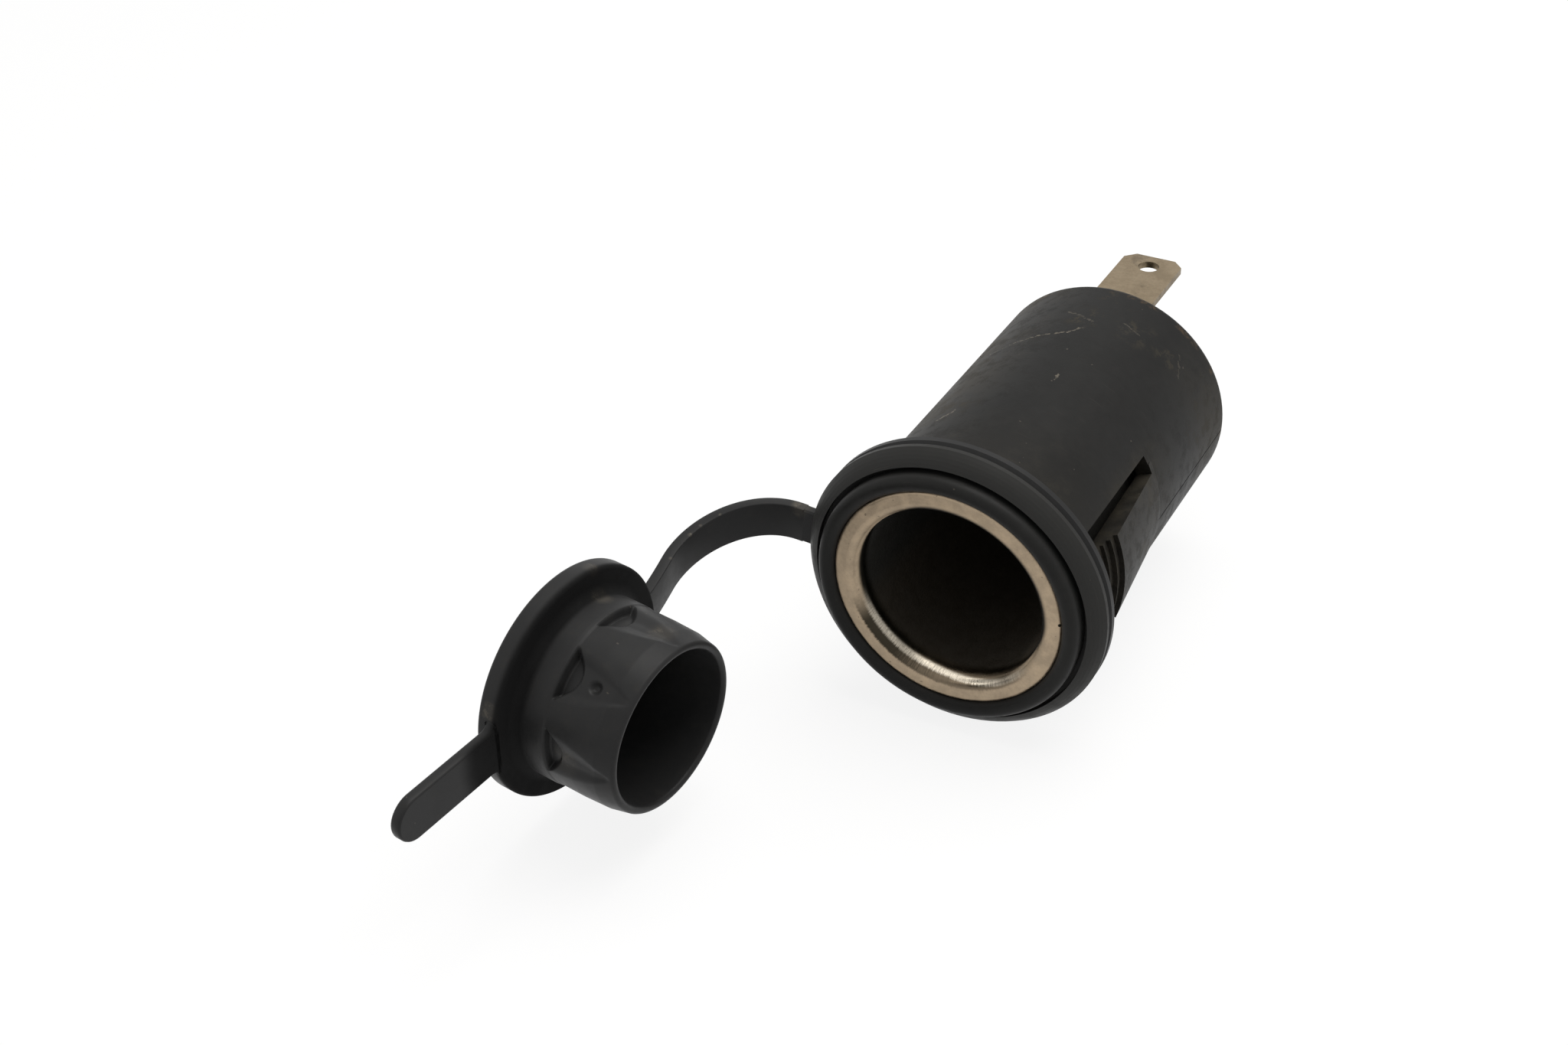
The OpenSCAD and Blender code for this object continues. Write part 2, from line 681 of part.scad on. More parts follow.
// Round cutter, sunk at the neck and rising out of the plug's wall towards its mouth,
// with a deeper pocket beside the crease
module leaf_cutter() {
    leaf_r = groove_cutter_r(leaf_w, leaf_depth);
    pocket_r = groove_cutter_r(pocket_w, pocket_depth);
    taper = atan((body_r - mouth_r) / (plug_len - neck_len));
    tilt = atan(leaf_depth / leaf_len) - taper;
    translate([body_r - leaf_depth + leaf_r, neck_len - leaf_back, 0])
        rotate([-90, 0, 0]) rotate([0, tilt, 0])
            cylinder(r = leaf_r, h = leaf_len + 1);
    translate([body_r - pocket_depth + pocket_r, neck_len - leaf_back / 2, 0])
        rotate([-90, 0, 0])
            cylinder(r = pocket_r, h = pocket_len);
}

module cap() {
    color("#202123")
        translate([cap_c[0], cap_c[1], -strap_sag])
            rotate([0, 0, cap_turn])
                rotate([-plug_dip, 0, 0])
                    translate([0, strap_t / 2, 0]) cap_closed();
}

housing();
well();
contact_disc();
inner_washer();
shoulder_washer();
centre_rivet();
centre_terminal();
ground_terminal();
ground_rivets();
cap_ring();
cap_strap();
cap();
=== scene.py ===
import math

import bmesh
import bpy
from bpy.props import FloatProperty, FloatVectorProperty, IntProperty, PointerProperty
from mathutils import Matrix, Vector


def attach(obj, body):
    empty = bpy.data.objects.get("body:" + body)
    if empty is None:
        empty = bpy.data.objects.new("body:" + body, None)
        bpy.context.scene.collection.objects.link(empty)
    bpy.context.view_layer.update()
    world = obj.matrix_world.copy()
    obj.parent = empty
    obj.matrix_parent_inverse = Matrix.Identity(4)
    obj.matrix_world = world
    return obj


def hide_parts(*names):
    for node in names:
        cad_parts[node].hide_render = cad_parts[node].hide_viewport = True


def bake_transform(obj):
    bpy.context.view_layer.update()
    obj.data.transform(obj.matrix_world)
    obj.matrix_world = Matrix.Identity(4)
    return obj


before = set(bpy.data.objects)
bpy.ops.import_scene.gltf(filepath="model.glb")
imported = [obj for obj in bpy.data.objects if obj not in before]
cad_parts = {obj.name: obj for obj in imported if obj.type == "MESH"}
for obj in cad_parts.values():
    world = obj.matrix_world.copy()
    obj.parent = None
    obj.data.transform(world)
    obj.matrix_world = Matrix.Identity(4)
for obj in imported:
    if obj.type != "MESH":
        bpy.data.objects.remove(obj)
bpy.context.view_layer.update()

bl_info = {
    "name": "Power socket looks",
    "version": (1, 0, 0),
    "blender": (4, 5, 0),
    "location": "View3D > Sidebar > Power socket",
    "description": "Finishes, rubber strap and stage for a snap-in 12 volt power socket",
    "category": "Object",
}

MM = 0.001

# Sizes of the CAD source that the looks repeat, in millimetres and degrees
BARREL_RADIUS = 14.25
FLANGE_RADIUS = 17.0
RIM_FRONT = -4.5
LEAD_IN_EDGE = 11.6
RING_MID_Y = -0.675
RING_TURN = 7.0
STUB = 1.5
STRAP_THICKNESS = 1.2
CAP_CENTRE = (-28.954, -30.476, -1.0)
CAP_TURN = -96.1
CAP_RADIUS = 12.65
CAP_THICKNESS = 2.35
CAP_ROUND = 0.45
PLUG_DIP = 5.2
PLUG_LENGTH = 11.9
NECK_RADIUS = 9.85
NECK_LENGTH = 3.7
NECK_FILLET = 0.5
CREASE = 0.3
BODY_RADIUS = 9.73
BODY_STRAIGHT = 3.2
MOUTH_RADIUS = 9.25
MOUTH_RUN = 2.2
MOUTH_DOME = 0.12
HOLLOW_RADIUS = 8.35
HOLLOW_DRAFT = 0.4
TAB_WIDTH = 5.1
TAB_REACH = 25.9
TAB_FILLET = 1.1
LEAF_COUNT = 7
LEAF_WIDTH = 4.4
LEAF_DEPTH = 0.6
LEAF_LENGTH = 7.9
POCKET_WIDTH = 3.9
POCKET_DEPTH = 1.0
POCKET_LENGTH = 1.6
DIMPLE_RADIUS = 0.95
DIMPLE_IN = 3.4


def metres(place):
    return tuple(part * MM for part in place)


# ---- settings


def size_property(name, description, default):
    return FloatProperty(name=name, description=description, default=default, unit="LENGTH",
                         precision=5)


def angle_property(name, description, degrees):
    return FloatProperty(name=name, description=description, default=math.radians(degrees),
                         subtype="ANGLE", unit="ROTATION")


def power_property(name, description, default):
    return FloatProperty(name=name, description=description, default=default, min=0.0,
                         unit="POWER")


def share_property(name, description, default):
    return FloatProperty(name=name, description=description, default=default, min=0.0, max=1.0,
                         subtype="FACTOR")


def colour_property(name, description, default):
    return FloatVectorProperty(name=name, description=description, default=default, size=3,
                               min=0.0, max=1.0, subtype="COLOR")


class StageSettings(bpy.types.PropertyGroup):
    """Camera, floor and light"""

    camera_place: FloatVectorProperty(
        name="Camera place", description="Where the camera stands", size=3,
        subtype="TRANSLATION", unit="LENGTH", default=(0.07748, -0.15840, 0.12754))
    camera_heading: angle_property(
        "Camera heading", "Turn of the camera about the vertical", 32.0)
    camera_drop: angle_property(
        "Camera drop", "Angle by which the camera looks down", 34.1)
    camera_roll: angle_property(
        "Camera roll", "Roll of the camera about its line of sight", -4.96)
    lens: FloatProperty(
        name="Lens", description="Focal length on a 36 mm sensor", default=47.46,
        min=10.0, max=300.0, unit="CAMERA")
    floor_height: size_property(
        "Floor height", "Height of the floor, just under the ring", -0.01703)
    floor_size: size_property("Floor size", "Side of the square floor", 6.0)
    floor_glow: share_property(
        "Floor glow", "Brightness that the camera sees on the floor without any lamp", 0.86)
    ambient: FloatProperty(
        name="Ambient light", description="Strength of the light that comes from all round",
        default=0.32, min=0.0, max=2.0)
    key_power: power_property("Key lamp", "Power of the large lamp overhead", 3.6)
    fill_power: power_property("Fill lamp", "Power of the soft lamp at the front left", 0.35)
    side_power: power_property("Side lamp", "Power of the soft lamp at the right", 0.22)


class FinishSettings(bpy.types.PropertyGroup):
    """Colours of the plastic, the metals and the rubber"""

    plastic: colour_property("Plastic", "Moulded plastic of the barrel", (0.0105, 0.0103, 0.0098))
    flange: colour_property("Flange", "Moulded plastic of the flange", (0.031, 0.0308, 0.0295))
    dust: colour_property("Dust", "Dust film on plastic and rubber", (0.055, 0.047, 0.033))
    grime: colour_property("Grime", "Tan grime along the rear edge", (0.15, 0.098, 0.052))
    chip: colour_property("Pale chips", "Pale chips and specks on plastic and rubber",
                          (0.17, 0.15, 0.12))
    rim: colour_property("Rim metal", "Worn plating of the well's rim", (0.40, 0.315, 0.220))
    nick: colour_property("Nick", "Dark nick in the well's rim", (0.01, 0.009, 0.007))
    # Well inside: painted shade; this near-black colour deep in the well stands in for the shade
    # there
    inside: colour_property("Well inside", "Stained metal deep in the well", (0.012, 0.011, 0.008))
    # Low roll: painted dark reflection, a brown band with brush streaks
    roll: colour_property("Low roll", "Brown stain on the low side of the roll",
                          (0.15, 0.118, 0.082))
    # Low roll, left: sooty stain and painted dark reflection
    roll_dark_soot_and_reflection: colour_property("Low roll, left", "Dark stain at the left of the low side",
                               (0.020, 0.017, 0.011))
    # Low roll streaks: paler brush streaks in the painted dark reflection
    roll_streak_reflection: colour_property("Low roll streaks", "Paler streaks in the brown stain",
                                 (0.22, 0.17, 0.115))
    # Low roll tail: painted shade that fades into the bore
    roll_tail_shade: colour_property("Low roll tail", "Stain that fades into the bore",
                               (0.03, 0.024, 0.016))
    # Low roll line: painted highlight, a bright reflection of the light overhead
    roll_highlight: colour_property("Low roll line", "Bare bright line of the roll",
                               (0.98, 0.88, 0.72))
    blade: colour_property("Terminal metal", "Dull plating of the blades", (0.205, 0.160, 0.103))
    brass: colour_property("Brass", "Contact disc and centre rivet", (0.62, 0.52, 0.33))
    insulator: colour_property("Insulator", "Laminated paper washers", (0.24, 0.14, 0.07))
    rubber: colour_property("Rubber", "Ring, strap and cap", (0.021, 0.021, 0.0212))


class StrapSettings(bpy.types.PropertyGroup):
    """Section of the rubber strap and how finely it is swept"""

    width: size_property("Width", "Width of the strap", 0.0043)
    thickness: size_property("Thickness", "Thickness of the strap", 0.0012)
    corner: size_property("Corner", "Rounding of the strap's four edges", 0.00013)
    step: size_property("Step", "Distance between sections along the strap", 0.0003)
    corner_steps: IntProperty(
        name="Corner steps", description="Points on each rounded corner", default=3, min=1, max=8)


class SocketSettings(bpy.types.PropertyGroup):
    """All settings of the power socket's looks"""

    stage: PointerProperty(type=StageSettings)
    finish: PointerProperty(type=FinishSettings)
    strap: PointerProperty(type=StrapSettings)


def settings():
    return bpy.context.scene.power_socket


# ---- node trees


FLOAT = "NodeSocketFloat"
VECTOR = "NodeSocketVector"
GEOMETRY = "NodeSocketGeometry"
WHITE = (1, 1, 1, 1)


class Nodes:
    """Short calls that add nodes to one tree and join them"""

    def __init__(self, tree):
        self.tree = tree

    def feed(self, socket, value):
        if isinstance(value, bpy.types.NodeSocket):
            self.tree.links.new(value, socket)
        elif value is not None:
            socket.default_value = value

    def add(self, kind, inputs=(), **values):
        node = self.tree.nodes.new(kind)
        for name, value in values.items():
            setattr(node, name, value)
        for key, value in dict(inputs).items():
            self.feed(node.inputs[key], value)
        return node

    def group(self, name, **inputs):
        """Outputs of a shared effect; an underscore in an input's name stands for a space"""
        named = {key.replace("_", " "): value for key, value in inputs.items()}
        return self.add("ShaderNodeGroup", named, node_tree=bpy.data.node_groups[name]).outputs

    def math(self, operation, *values, clamp=False):
        node = self.add("ShaderNodeMath", enumerate(values), operation=operation, use_clamp=clamp)
        return node.outputs[0]

    def plus(self, first, second, clamp=False):
        return self.math("ADD", first, second, clamp=clamp)

    def minus(self, first, second):
        return self.math("SUBTRACT", first, second)

    def times(self, product, *factors):
        for factor in factors:
            product = self.math("MULTIPLY", product, factor)
        return product

    def largest(self, value, *others):
        for other in others:
            value = self.math("MAXIMUM", value, other)
        return value

    def vector(self, operation, *values):
        node = self.add("ShaderNodeVectorMath", enumerate(values), operation=operation)
        plain = operation in ("LENGTH", "DOT_PRODUCT", "DISTANCE")
        return node.outputs["Value" if plain else "Vector"]

    def scaled(self, vector, factor):
        inputs = {0: vector, "Scale": factor}
        return self.add("ShaderNodeVectorMath", inputs, operation="SCALE").outputs["Vector"]

    def mapped(self, vector, scale, turn=(0.0, 0.0, 0.0)):
        inputs = {"Vector": vector, "Rotation": turn, "Scale": scale}
        return self.add("ShaderNodeMapping", inputs).outputs[0]

    def ramp(self, value, low, high, bottom=0.0, top=1.0):
        """Smooth change from bottom to top while the value goes from low to high"""
        inputs = {"Value": value, "From Min": low, "From Max": high,
                  "To Min": bottom, "To Max": top}
        node = self.add("ShaderNodeMapRange", inputs, interpolation_type="SMOOTHSTEP")
        return node.outputs["Result"]

    def between(self, share, bottom, top):
        return self.ramp(share, 0.0, 1.0, bottom, top)

    def noise(self, place, scale, detail=3.0, roughness=0.5, output=0):
        inputs = {"Vector": place, "Scale": scale, "Detail": detail, "Roughness": roughness}
        return self.add("ShaderNodeTexNoise", inputs).outputs[output]

    def band(self, value, centre, half_width, softness):
        return self.group("band", Value=value, Centre=centre, Half_width=half_width,
                          Softness=softness)["Mask"]

    def film(self, place, scale, low, high):
        return self.group("film", Position=place, Scale=scale, Low=low, High=high)["Mask"]

    def specks(self, place, scale, amount):
        return self.group("specks", Position=place, Scale=scale, Amount=amount)["Mask"]

    def grain(self, place, scale):
        return self.group("grain", Position=place, Scale=scale)["Height"]

    def mix(self, share, base, top):
        inputs = {0: share, 6: rgba(base), 7: rgba(top)}
        return self.add("ShaderNodeMix", inputs, data_type="RGBA").outputs[2]

    def tint(self, base, colour, *masks):
        """Lays a colour over another by the product of masks and strengths"""
        return self.mix(self.times(*masks), base, colour)


def rgba(value):
    """A colour of three numbers gets its alpha; a socket stays as it is"""
    return value if isinstance(value, bpy.types.NodeSocket) else (*value, 1.0)


def shade(colour, factor):
    return [min(1.0, part * factor) for part in colour]


# ---- shared effects


def build_round_axis(nodes, inside):
    """Place round the socket's axis, in millimetres and degrees: on the barrel's surface laid
    flat, angle, place along the axis and radius"""
    place = nodes.scaled(inside["Position"], 1 / MM)
    parts = nodes.add("ShaderNodeSeparateXYZ", {0: place}).outputs
    angle = nodes.math("ARCTAN2", parts["Z"], parts["X"])
    flat = {0: nodes.times(angle, BARREL_RADIUS), 1: parts["Y"], 2: 0.0}
    squares = nodes.plus(nodes.math("POWER", parts["X"], 2.0), nodes.math("POWER", parts["Z"], 2.0))
    return {"Flat": nodes.add("ShaderNodeCombineXYZ", flat).outputs[0],
            "Angle": nodes.math("DEGREES", angle), "Along": parts["Y"],
            "Radius": nodes.math("SQRT", squares)}


def build_stroke(nodes, inside):
    """Thin, wandering, broken stroke between two points of the flat surface"""
    wander = nodes.noise(inside["Flat"], 0.9, output="Color")
    aside = nodes.scaled(nodes.vector("SUBTRACT", wander, (0.5, 0.5, 0.5)), 0.7)
    span = nodes.vector("SUBTRACT", inside["End"], inside["Start"])
    reach = nodes.vector("ADD", nodes.vector("SUBTRACT", inside["Flat"], inside["Start"]), aside)
    share = nodes.math("DIVIDE", nodes.vector("DOT_PRODUCT", reach, span),
                       nodes.vector("DOT_PRODUCT", span, span), clamp=True)
    away = nodes.vector("LENGTH", nodes.vector("SUBTRACT", reach, nodes.scaled(span, share)))
    wobble = nodes.noise(inside["Flat"], 2.2, 4.0, 0.7)
    width = nodes.times(inside["Width"], nodes.ramp(wobble, 0.35, 0.75, 0.3, 1.8))
    line = nodes.ramp(nodes.minus(away, width), -0.06, 0.06, 1.0, 0.0)
    return {"Mask": nodes.times(line, nodes.ramp(wobble, 0.38, 0.56))}


def build_band(nodes, inside):
    """Soft band where a value is near a centre"""
    distance = nodes.math("ABSOLUTE", nodes.minus(inside["Value"], inside["Centre"]))
    outer = nodes.plus(inside["Half width"], inside["Softness"])
    return {"Mask": nodes.ramp(distance, inside["Half width"], outer, 1.0, 0.0)}


def build_film(nodes, inside):
    """Uneven film: two noises, one large and one fine"""
    large = nodes.noise(inside["Position"], inside["Scale"], 3.0, 0.6)
    fine = nodes.noise(inside["Position"], nodes.times(inside["Scale"], 7.0), 4.0, 0.7)
    both = nodes.plus(nodes.times(large, 0.65), nodes.times(fine, 0.35))
    return {"Mask": nodes.ramp(both, inside["Low"], inside["High"])}


def build_specks(nodes, inside):
    """Sparse irregular specks"""
    wander = nodes.scaled(nodes.noise(inside["Position"], 900.0, 2.0, output="Color"), 0.0009)
    bent = nodes.vector("ADD", inside["Position"], wander)
    cell = nodes.add("ShaderNodeTexVoronoi", {"Vector": bent, "Scale": inside["Scale"]}).outputs
    chance = nodes.add("ShaderNodeSeparateColor", {0: cell["Color"]}).outputs[0]
    size = nodes.ramp(chance, nodes.minus(1.0, inside["Amount"]), 1.0, 0.0, 0.32)
    return {"Mask": nodes.ramp(nodes.minus(cell["Distance"], size), -0.06, 0.0, 1.0, 0.0)}


def build_scratches(nodes, inside):
    """Fine scratches that run one way: a noise drawn out along one direction, in patches"""
    drawn = nodes.mapped(inside["Flat"], (0.12, 6.0, 1.0), inside["Turn"])
    line = nodes.ramp(nodes.noise(drawn, inside["Scale"], 2.0, 0.6), 0.66, 0.72)
    patch = nodes.ramp(nodes.noise(inside["Flat"], 0.22, 1.0), 0.42, 0.62)
    return {"Mask": nodes.times(line, patch)}


def build_grain(nodes, inside):
    """Height of a moulded surface: fine grain over slow waves"""
    fine = nodes.noise(inside["Position"], inside["Scale"], 4.0, 0.65)
    slow = nodes.noise(inside["Position"], nodes.times(inside["Scale"], 0.08), 2.0)
    return {"Height": nodes.plus(nodes.times(fine, 0.4), nodes.times(slow, 0.6))}


# Shared effects: vector inputs, number inputs, vector outputs, number outputs, how it is built
EFFECTS = {
    "round_axis": (["Position"], [], ["Flat"], ["Angle", "Along", "Radius"], build_round_axis),
    "stroke": (["Flat", "Start", "End"], ["Width"], [], ["Mask"], build_stroke),
    "band": ([], ["Value", "Centre", "Half width", "Softness"], [], ["Mask"], build_band),
    "film": (["Position"], ["Scale", "Low", "High"], [], ["Mask"], build_film),
    "specks": (["Position"], ["Scale", "Amount"], [], ["Mask"], build_specks),
    "scratches": (["Flat", "Turn"], ["Scale"], [], ["Mask"], build_scratches),
    "grain": (["Position"], ["Scale"], [], ["Height"], build_grain),
}


def add_sockets(tree, side, kinds):
    for kind, labels in kinds.items():
        for label in labels:
            tree.interface.new_socket(label, in_out=side, socket_type=kind)


def build_effects():
    for name, (vectors_in, numbers_in, vectors_out, numbers_out, build) in EFFECTS.items():
        tree = bpy.data.node_groups.new(name, "ShaderNodeTree")
        add_sockets(tree, "INPUT", {VECTOR: vectors_in, FLOAT: numbers_in})
        add_sockets(tree, "OUTPUT", {VECTOR: vectors_out, FLOAT: numbers_out})
        nodes = Nodes(tree)
        nodes.add("NodeGroupOutput", build(nodes, nodes.add("NodeGroupInput").outputs))


# ---- finishes


FINE_BUMP = 0.00002
PLY_BUMP = 0.00003

# Films: scale of the noise, and the values where the film starts and where it is full
BARREL_FILM = (95.0, 0.38, 0.66)
BARREL_FINE_FILM = (620.0, 0.42, 0.66)
REAR_EDGE_FILM = (420.0, 0.50, 0.64)
WELL_MOTTLE = (620.0, 0.36, 0.66)
WELL_STAIN = (190.0, 0.50, 0.62)
BLADE_MOTTLE = (330.0, 0.36, 0.64)
BLADE_SMUDGE = (210.0, 0.54, 0.62)
BRASS_MOTTLE = (500.0, 0.35, 0.65)
RUBBER_CLOUD = (130.0, 0.38, 0.68)
RUBBER_FINE_FILM = (900.0, 0.50, 0.68)

# Specks: scale of their cells, and the share of the cells that holds one
BARREL_SPECKS = (1900.0, 0.012)
WELL_PITS = (2200.0, 0.10)
RUBBER_SPECKS = (1900.0, 0.008)

# Spans on the housing, in millimetres along or from the axis or degrees round it: where an
# effect starts and ends, and its strengths there where they are not 0 and 1
BEHIND_PANEL = (-0.5, 0.5)
BEAD_SPAN = (14.9, 15.3, 1.0, 0.0)
UPPER_LEFT_SPAN = (92.0, 145.0)
NEAR_RING_SPAN = (1.0, 13.0, 0.40, 0.0)
FINGER_SPAN = (16.0, 26.0, 0.6, 0.0)
REAR_SPAN = (28.0, 38.0)
RIGHT_SPAN = (60.0, 0.0, 0.0, 0.5)
OUTER_WALL_SPAN = (13.4, 13.9)
# Spans of the painted shade in the slots and on the inner faces
INNER_FACE_SHADE_SPAN = (BARREL_RADIUS - 1.9, BARREL_RADIUS - 1.5, 1.0, 0.0)
SLOT_SHADE_SPAN = (19.6, 19.0)
PARTING_SPAN = (19.0, 21.0)
# Bands on the housing: centre, half width and softness
FINGER_BAND = (0.0, 24.0, 14.0)
REAR_EDGE_BAND = (39.5, 0.25, 0.5)
PARTING_BAND = (-5.0, 0.18, 0.35)

# Marks on the barrel: place along the axis and angle of both ends, half width, strength
BARREL_STROKES = [
    ((24.8, 125.4), (28.8, 92.0), 0.10, 0.75),
    ((28.8, 92.0), (30.6, 86.0), 0.16, 0.60),
    ((33.4, 99.0), (32.2, 85.2), 0.14, 0.32),
    ((18.6, 81.5), (20.1, 81.1), 0.14, 0.75),
    ((9.0, 118.9), (10.6, 113.7), 0.20, 0.70),
    ((34.0, 73.0), (33.4, 63.8), 0.12, 0.30),
    ((32.6, 38.0), (35.6, 44.0), 0.14, 0.18),
]
# Patches of fine dust on the barrel: place along the axis and angle, reach, strength
BARREL_DUST = [
    ((32.6, 90.0), 3.0, 0.55),
    ((33.5, 66.0), 3.6, 0.45),
    ((33.5, 48.0), 2.6, 0.50),
    ((37.6, 84.0), 3.2, 0.40),
    ((12.0, 116.0), 4.0, 0.45),
    ((32.0, 12.0), 5.0, 0.35),
    ((14.0, -8.0), 2.4, 0.90),
]

# Spans in the well: by depth past the rim in millimetres, or by angle in degrees
WELL_SHADE_SPAN = (1.7, 2.6, 1.0, 0.0)
METAL_SPAN = (2.6, 5.0, 1.0, 0.0)
POLISH_SPAN = (0.2, 1.0)
RUN_OUT_SPAN = (1.2, 3.4)
RUN_OUT_HEIGHT = 0.0009
BROWN_SPAN = (-112.0, -78.0)
RIDGE_SPAN = (-105.0, -48.0, 2.2, 0.95)
ROLL_START = (-0.15, 0.25)
ROLL_TAIL = (0.5, 2.4)
# Bands in the well: centre, half width and softness
NEAR_BAND = (50.0, 48.0, 40.0)
LOW_BAND = (-100.0, 48.0, 22.0)
BRIGHTEST_BAND = (-86.0, 16.0, 26.0)
HIGHLIGHT_BAND = (0.05, 0.22, 0.55)
# One nick in the rim's edge: radius and angle; then where its colour ends, in metres
NICK = (12.8, 2.5)
NICK_SPAN = (0.00016, 0.00024, 1.0, 0.0)

# Dirt and pale chips on the rubber: place in millimetres, radius of the patch, strength
RUBBER_DIRT = [
    ((-27.4, -26.9, 11.0), 1.3, 0.45),
    ((-30.2, -42.2, 3.3), 1.3, 0.40),
    ((-26.3, -27.6, 8.0), 1.6, 0.75),
    ((-18.4, -28.8, 7.4), 1.9, 0.35),
    ((-23.6, -40.6, -2.0), 2.2, 0.25),
    ((-18.6, -0.6, 4.4), 1.5, 0.60),
    ((-28.7, -11.8, 1.9), 0.30, 0.85),
    ((-28.4, -8.2, 2.8), 0.35, 0.70),
    ((-27.9, -6.7, 3.1), 0.30, 0.85),
    ((-26.6, -4.7, 3.7), 0.25, 0.60),
]
# Painted shade on the face of the cap's flange: its band along the cap's axis, and where it ends
# round the cap
CAP_FACE_SHADE_BAND = (0.9, 0.40, 0.8)
CAP_FACE_SHADE_REACH = (15.0 * MM, 18.0 * MM, 1.0, 0.0)


def new_finish(name, **constants):
    """A material with its Principled shader; constants go on the shader's own sockets"""
    material = bpy.data.materials.new(name)
    material.use_nodes = True
    shader = material.node_tree.nodes["Principled BSDF"]
    for key, value in constants.items():
        shader.inputs[key.replace("_", " ")].default_value = value
    nodes = Nodes(material.node_tree)
    place = nodes.add("ShaderNodeTexCoord").outputs["Object"]
    return material, nodes, shader.inputs, place


def bump(nodes, height, strength, distance=FINE_BUMP, normal=None):
    inputs = {"Height": height, "Distance": distance, "Strength": strength, "Normal": normal}
    return nodes.add("ShaderNodeBump", inputs).outputs[0]


def feed_finish(nodes, shader, colour, roughness, normal):
    nodes.feed(shader["Base Color"], colour)
    nodes.feed(shader["Roughness"], roughness)
    nodes.feed(shader["Normal"], normal)


def on_barrel(along, angle):
    """Point of the flat surface from a place along the axis and an angle round it"""
    return (math.radians(angle) * BARREL_RADIUS, along, 0.0)


def barrel_dust(nodes, spot, film):
    """Dust on the upper left of the barrel, near the ring, over the fingers and at the rear"""
    along, angle = spot["Along"], spot["Angle"]
    upper_left = nodes.times(nodes.ramp(angle, *UPPER_LEFT_SPAN), 0.75)
    near_ring = nodes.ramp(along, *NEAR_RING_SPAN)
    fingers = nodes.band(nodes.math("ABSOLUTE", angle), *FINGER_BAND)
    fingers = nodes.times(fingers, nodes.ramp(along, *FINGER_SPAN))
    rear_right = nodes.times(nodes.ramp(along, *REAR_SPAN), nodes.ramp(angle, *RIGHT_SPAN))
    return nodes.times(nodes.largest(upper_left, near_ring, fingers, rear_right),
                       nodes.ramp(along, *BEHIND_PANEL), nodes.between(film, 0.2, 0.85))


def barrel_marks(nodes, base, spot, place, behind_panel):
    """Fine scratches, the marks seen on the barrel, and specks"""
    chip = settings().finish.chip
    fine = nodes.group("scratches", Flat=spot["Flat"], Turn=(0.0, 0.0, 0.5), Scale=1.6)["Mask"]
    base = nodes.tint(base, chip, fine, 0.10)
    for start, end, width, strength in BARREL_STROKES:
        mark = nodes.group("stroke", Flat=spot["Flat"], Start=on_barrel(*start),
                           End=on_barrel(*end), Width=width)["Mask"]
        base = nodes.tint(base, chip, mark, strength, behind_panel)
    return nodes.tint(base, chip, nodes.specks(place, *BARREL_SPECKS), 0.25)


def plastic_finish():
    colours = settings().finish
    material, nodes, shader, place = new_finish("housing_plastic", Specular_IOR_Level=0.09)
    spot = nodes.group("round_axis", Position=place)
    film = nodes.film(place, *BARREL_FILM)
    fine_film = nodes.film(place, *BARREL_FINE_FILM)
    behind_panel = nodes.ramp(spot["Along"], *BEHIND_PANEL)
    dust = barrel_dust(nodes, spot, film)

    on_bead = nodes.ramp(spot["Radius"], *BEAD_SPAN)
    front = nodes.mix(on_bead, colours.flange, shade(colours.flange, 0.55))
    base = nodes.mix(behind_panel, front, colours.plastic)
    light = nodes.plus(nodes.times(fine_film, 0.10), nodes.times(film, 0.12))
    base = nodes.tint(base, shade(colours.plastic, 4.0), light)
    base = nodes.tint(base, colours.dust, dust)
    for centre, reach, strength in BARREL_DUST:
        away = nodes.vector("DISTANCE", spot["Flat"], on_barrel(*centre))
        patch = nodes.ramp(away, reach * 0.2, reach, strength, 0.0)
        base = nodes.tint(base, colours.dust, patch, nodes.ramp(fine_film, 0.35, 1.0))
    base = nodes.tint(base, colours.grime, nodes.band(spot["Along"], *REAR_EDGE_BAND),
                      nodes.ramp(spot["Radius"], *OUTER_WALL_SPAN),
                      nodes.film(place, *REAR_EDGE_FILM), 0.35)
    base = barrel_marks(nodes, base, spot, place, behind_panel)

    # Moulding line along the side; and painted shade in the slots and on the inner faces, where
    # little light reaches
    line = nodes.times(nodes.band(spot["Angle"], *PARTING_BAND),
                       nodes.ramp(spot["Along"], *PARTING_SPAN))
    base = nodes.tint(base, shade(colours.plastic, 0.1), line, 0.9)
    # Painted shade: the slots and inner faces are made near black
    inner = nodes.times(nodes.ramp(spot["Radius"], *INNER_FACE_SHADE_SPAN), behind_panel,
                        nodes.ramp(spot["Along"], *SLOT_SHADE_SPAN))
    base = nodes.tint(base, shade(colours.plastic, 0.08), inner)

    worn = nodes.plus(nodes.times(dust, 0.25), nodes.times(nodes.largest(inner, line), 0.4))
    rough = nodes.plus(nodes.between(fine_film, 0.42, 0.54), worn, clamp=True)
    height = nodes.minus(nodes.grain(place, 5200.0), nodes.times(line, 3.0))
    feed_finish(nodes, shader, base, rough, bump(nodes, height, 0.7))
    return material


def rim_colour(nodes, place, mottle, pits):
    """Worn plating: mottled, stained, pitted, with one small nick"""
    colours = settings().finish
    rim = nodes.mix(mottle, shade(colours.rim, 0.80), shade(colours.rim, 1.10))
    rim = nodes.tint(rim, shade(colours.rim, 0.5), nodes.film(place, *WELL_STAIN), 0.30)
    rim = nodes.tint(rim, shade(colours.rim, 0.3), pits, 0.55)
    radius, angle = NICK[0], math.radians(NICK[1])
    centre = metres((radius * math.cos(angle), RIM_FRONT, radius * math.sin(angle)))
    nick = nodes.ramp(nodes.vector("DISTANCE", place, centre), *NICK_SPAN)
    return nodes.tint(rim, colours.nick, nick)


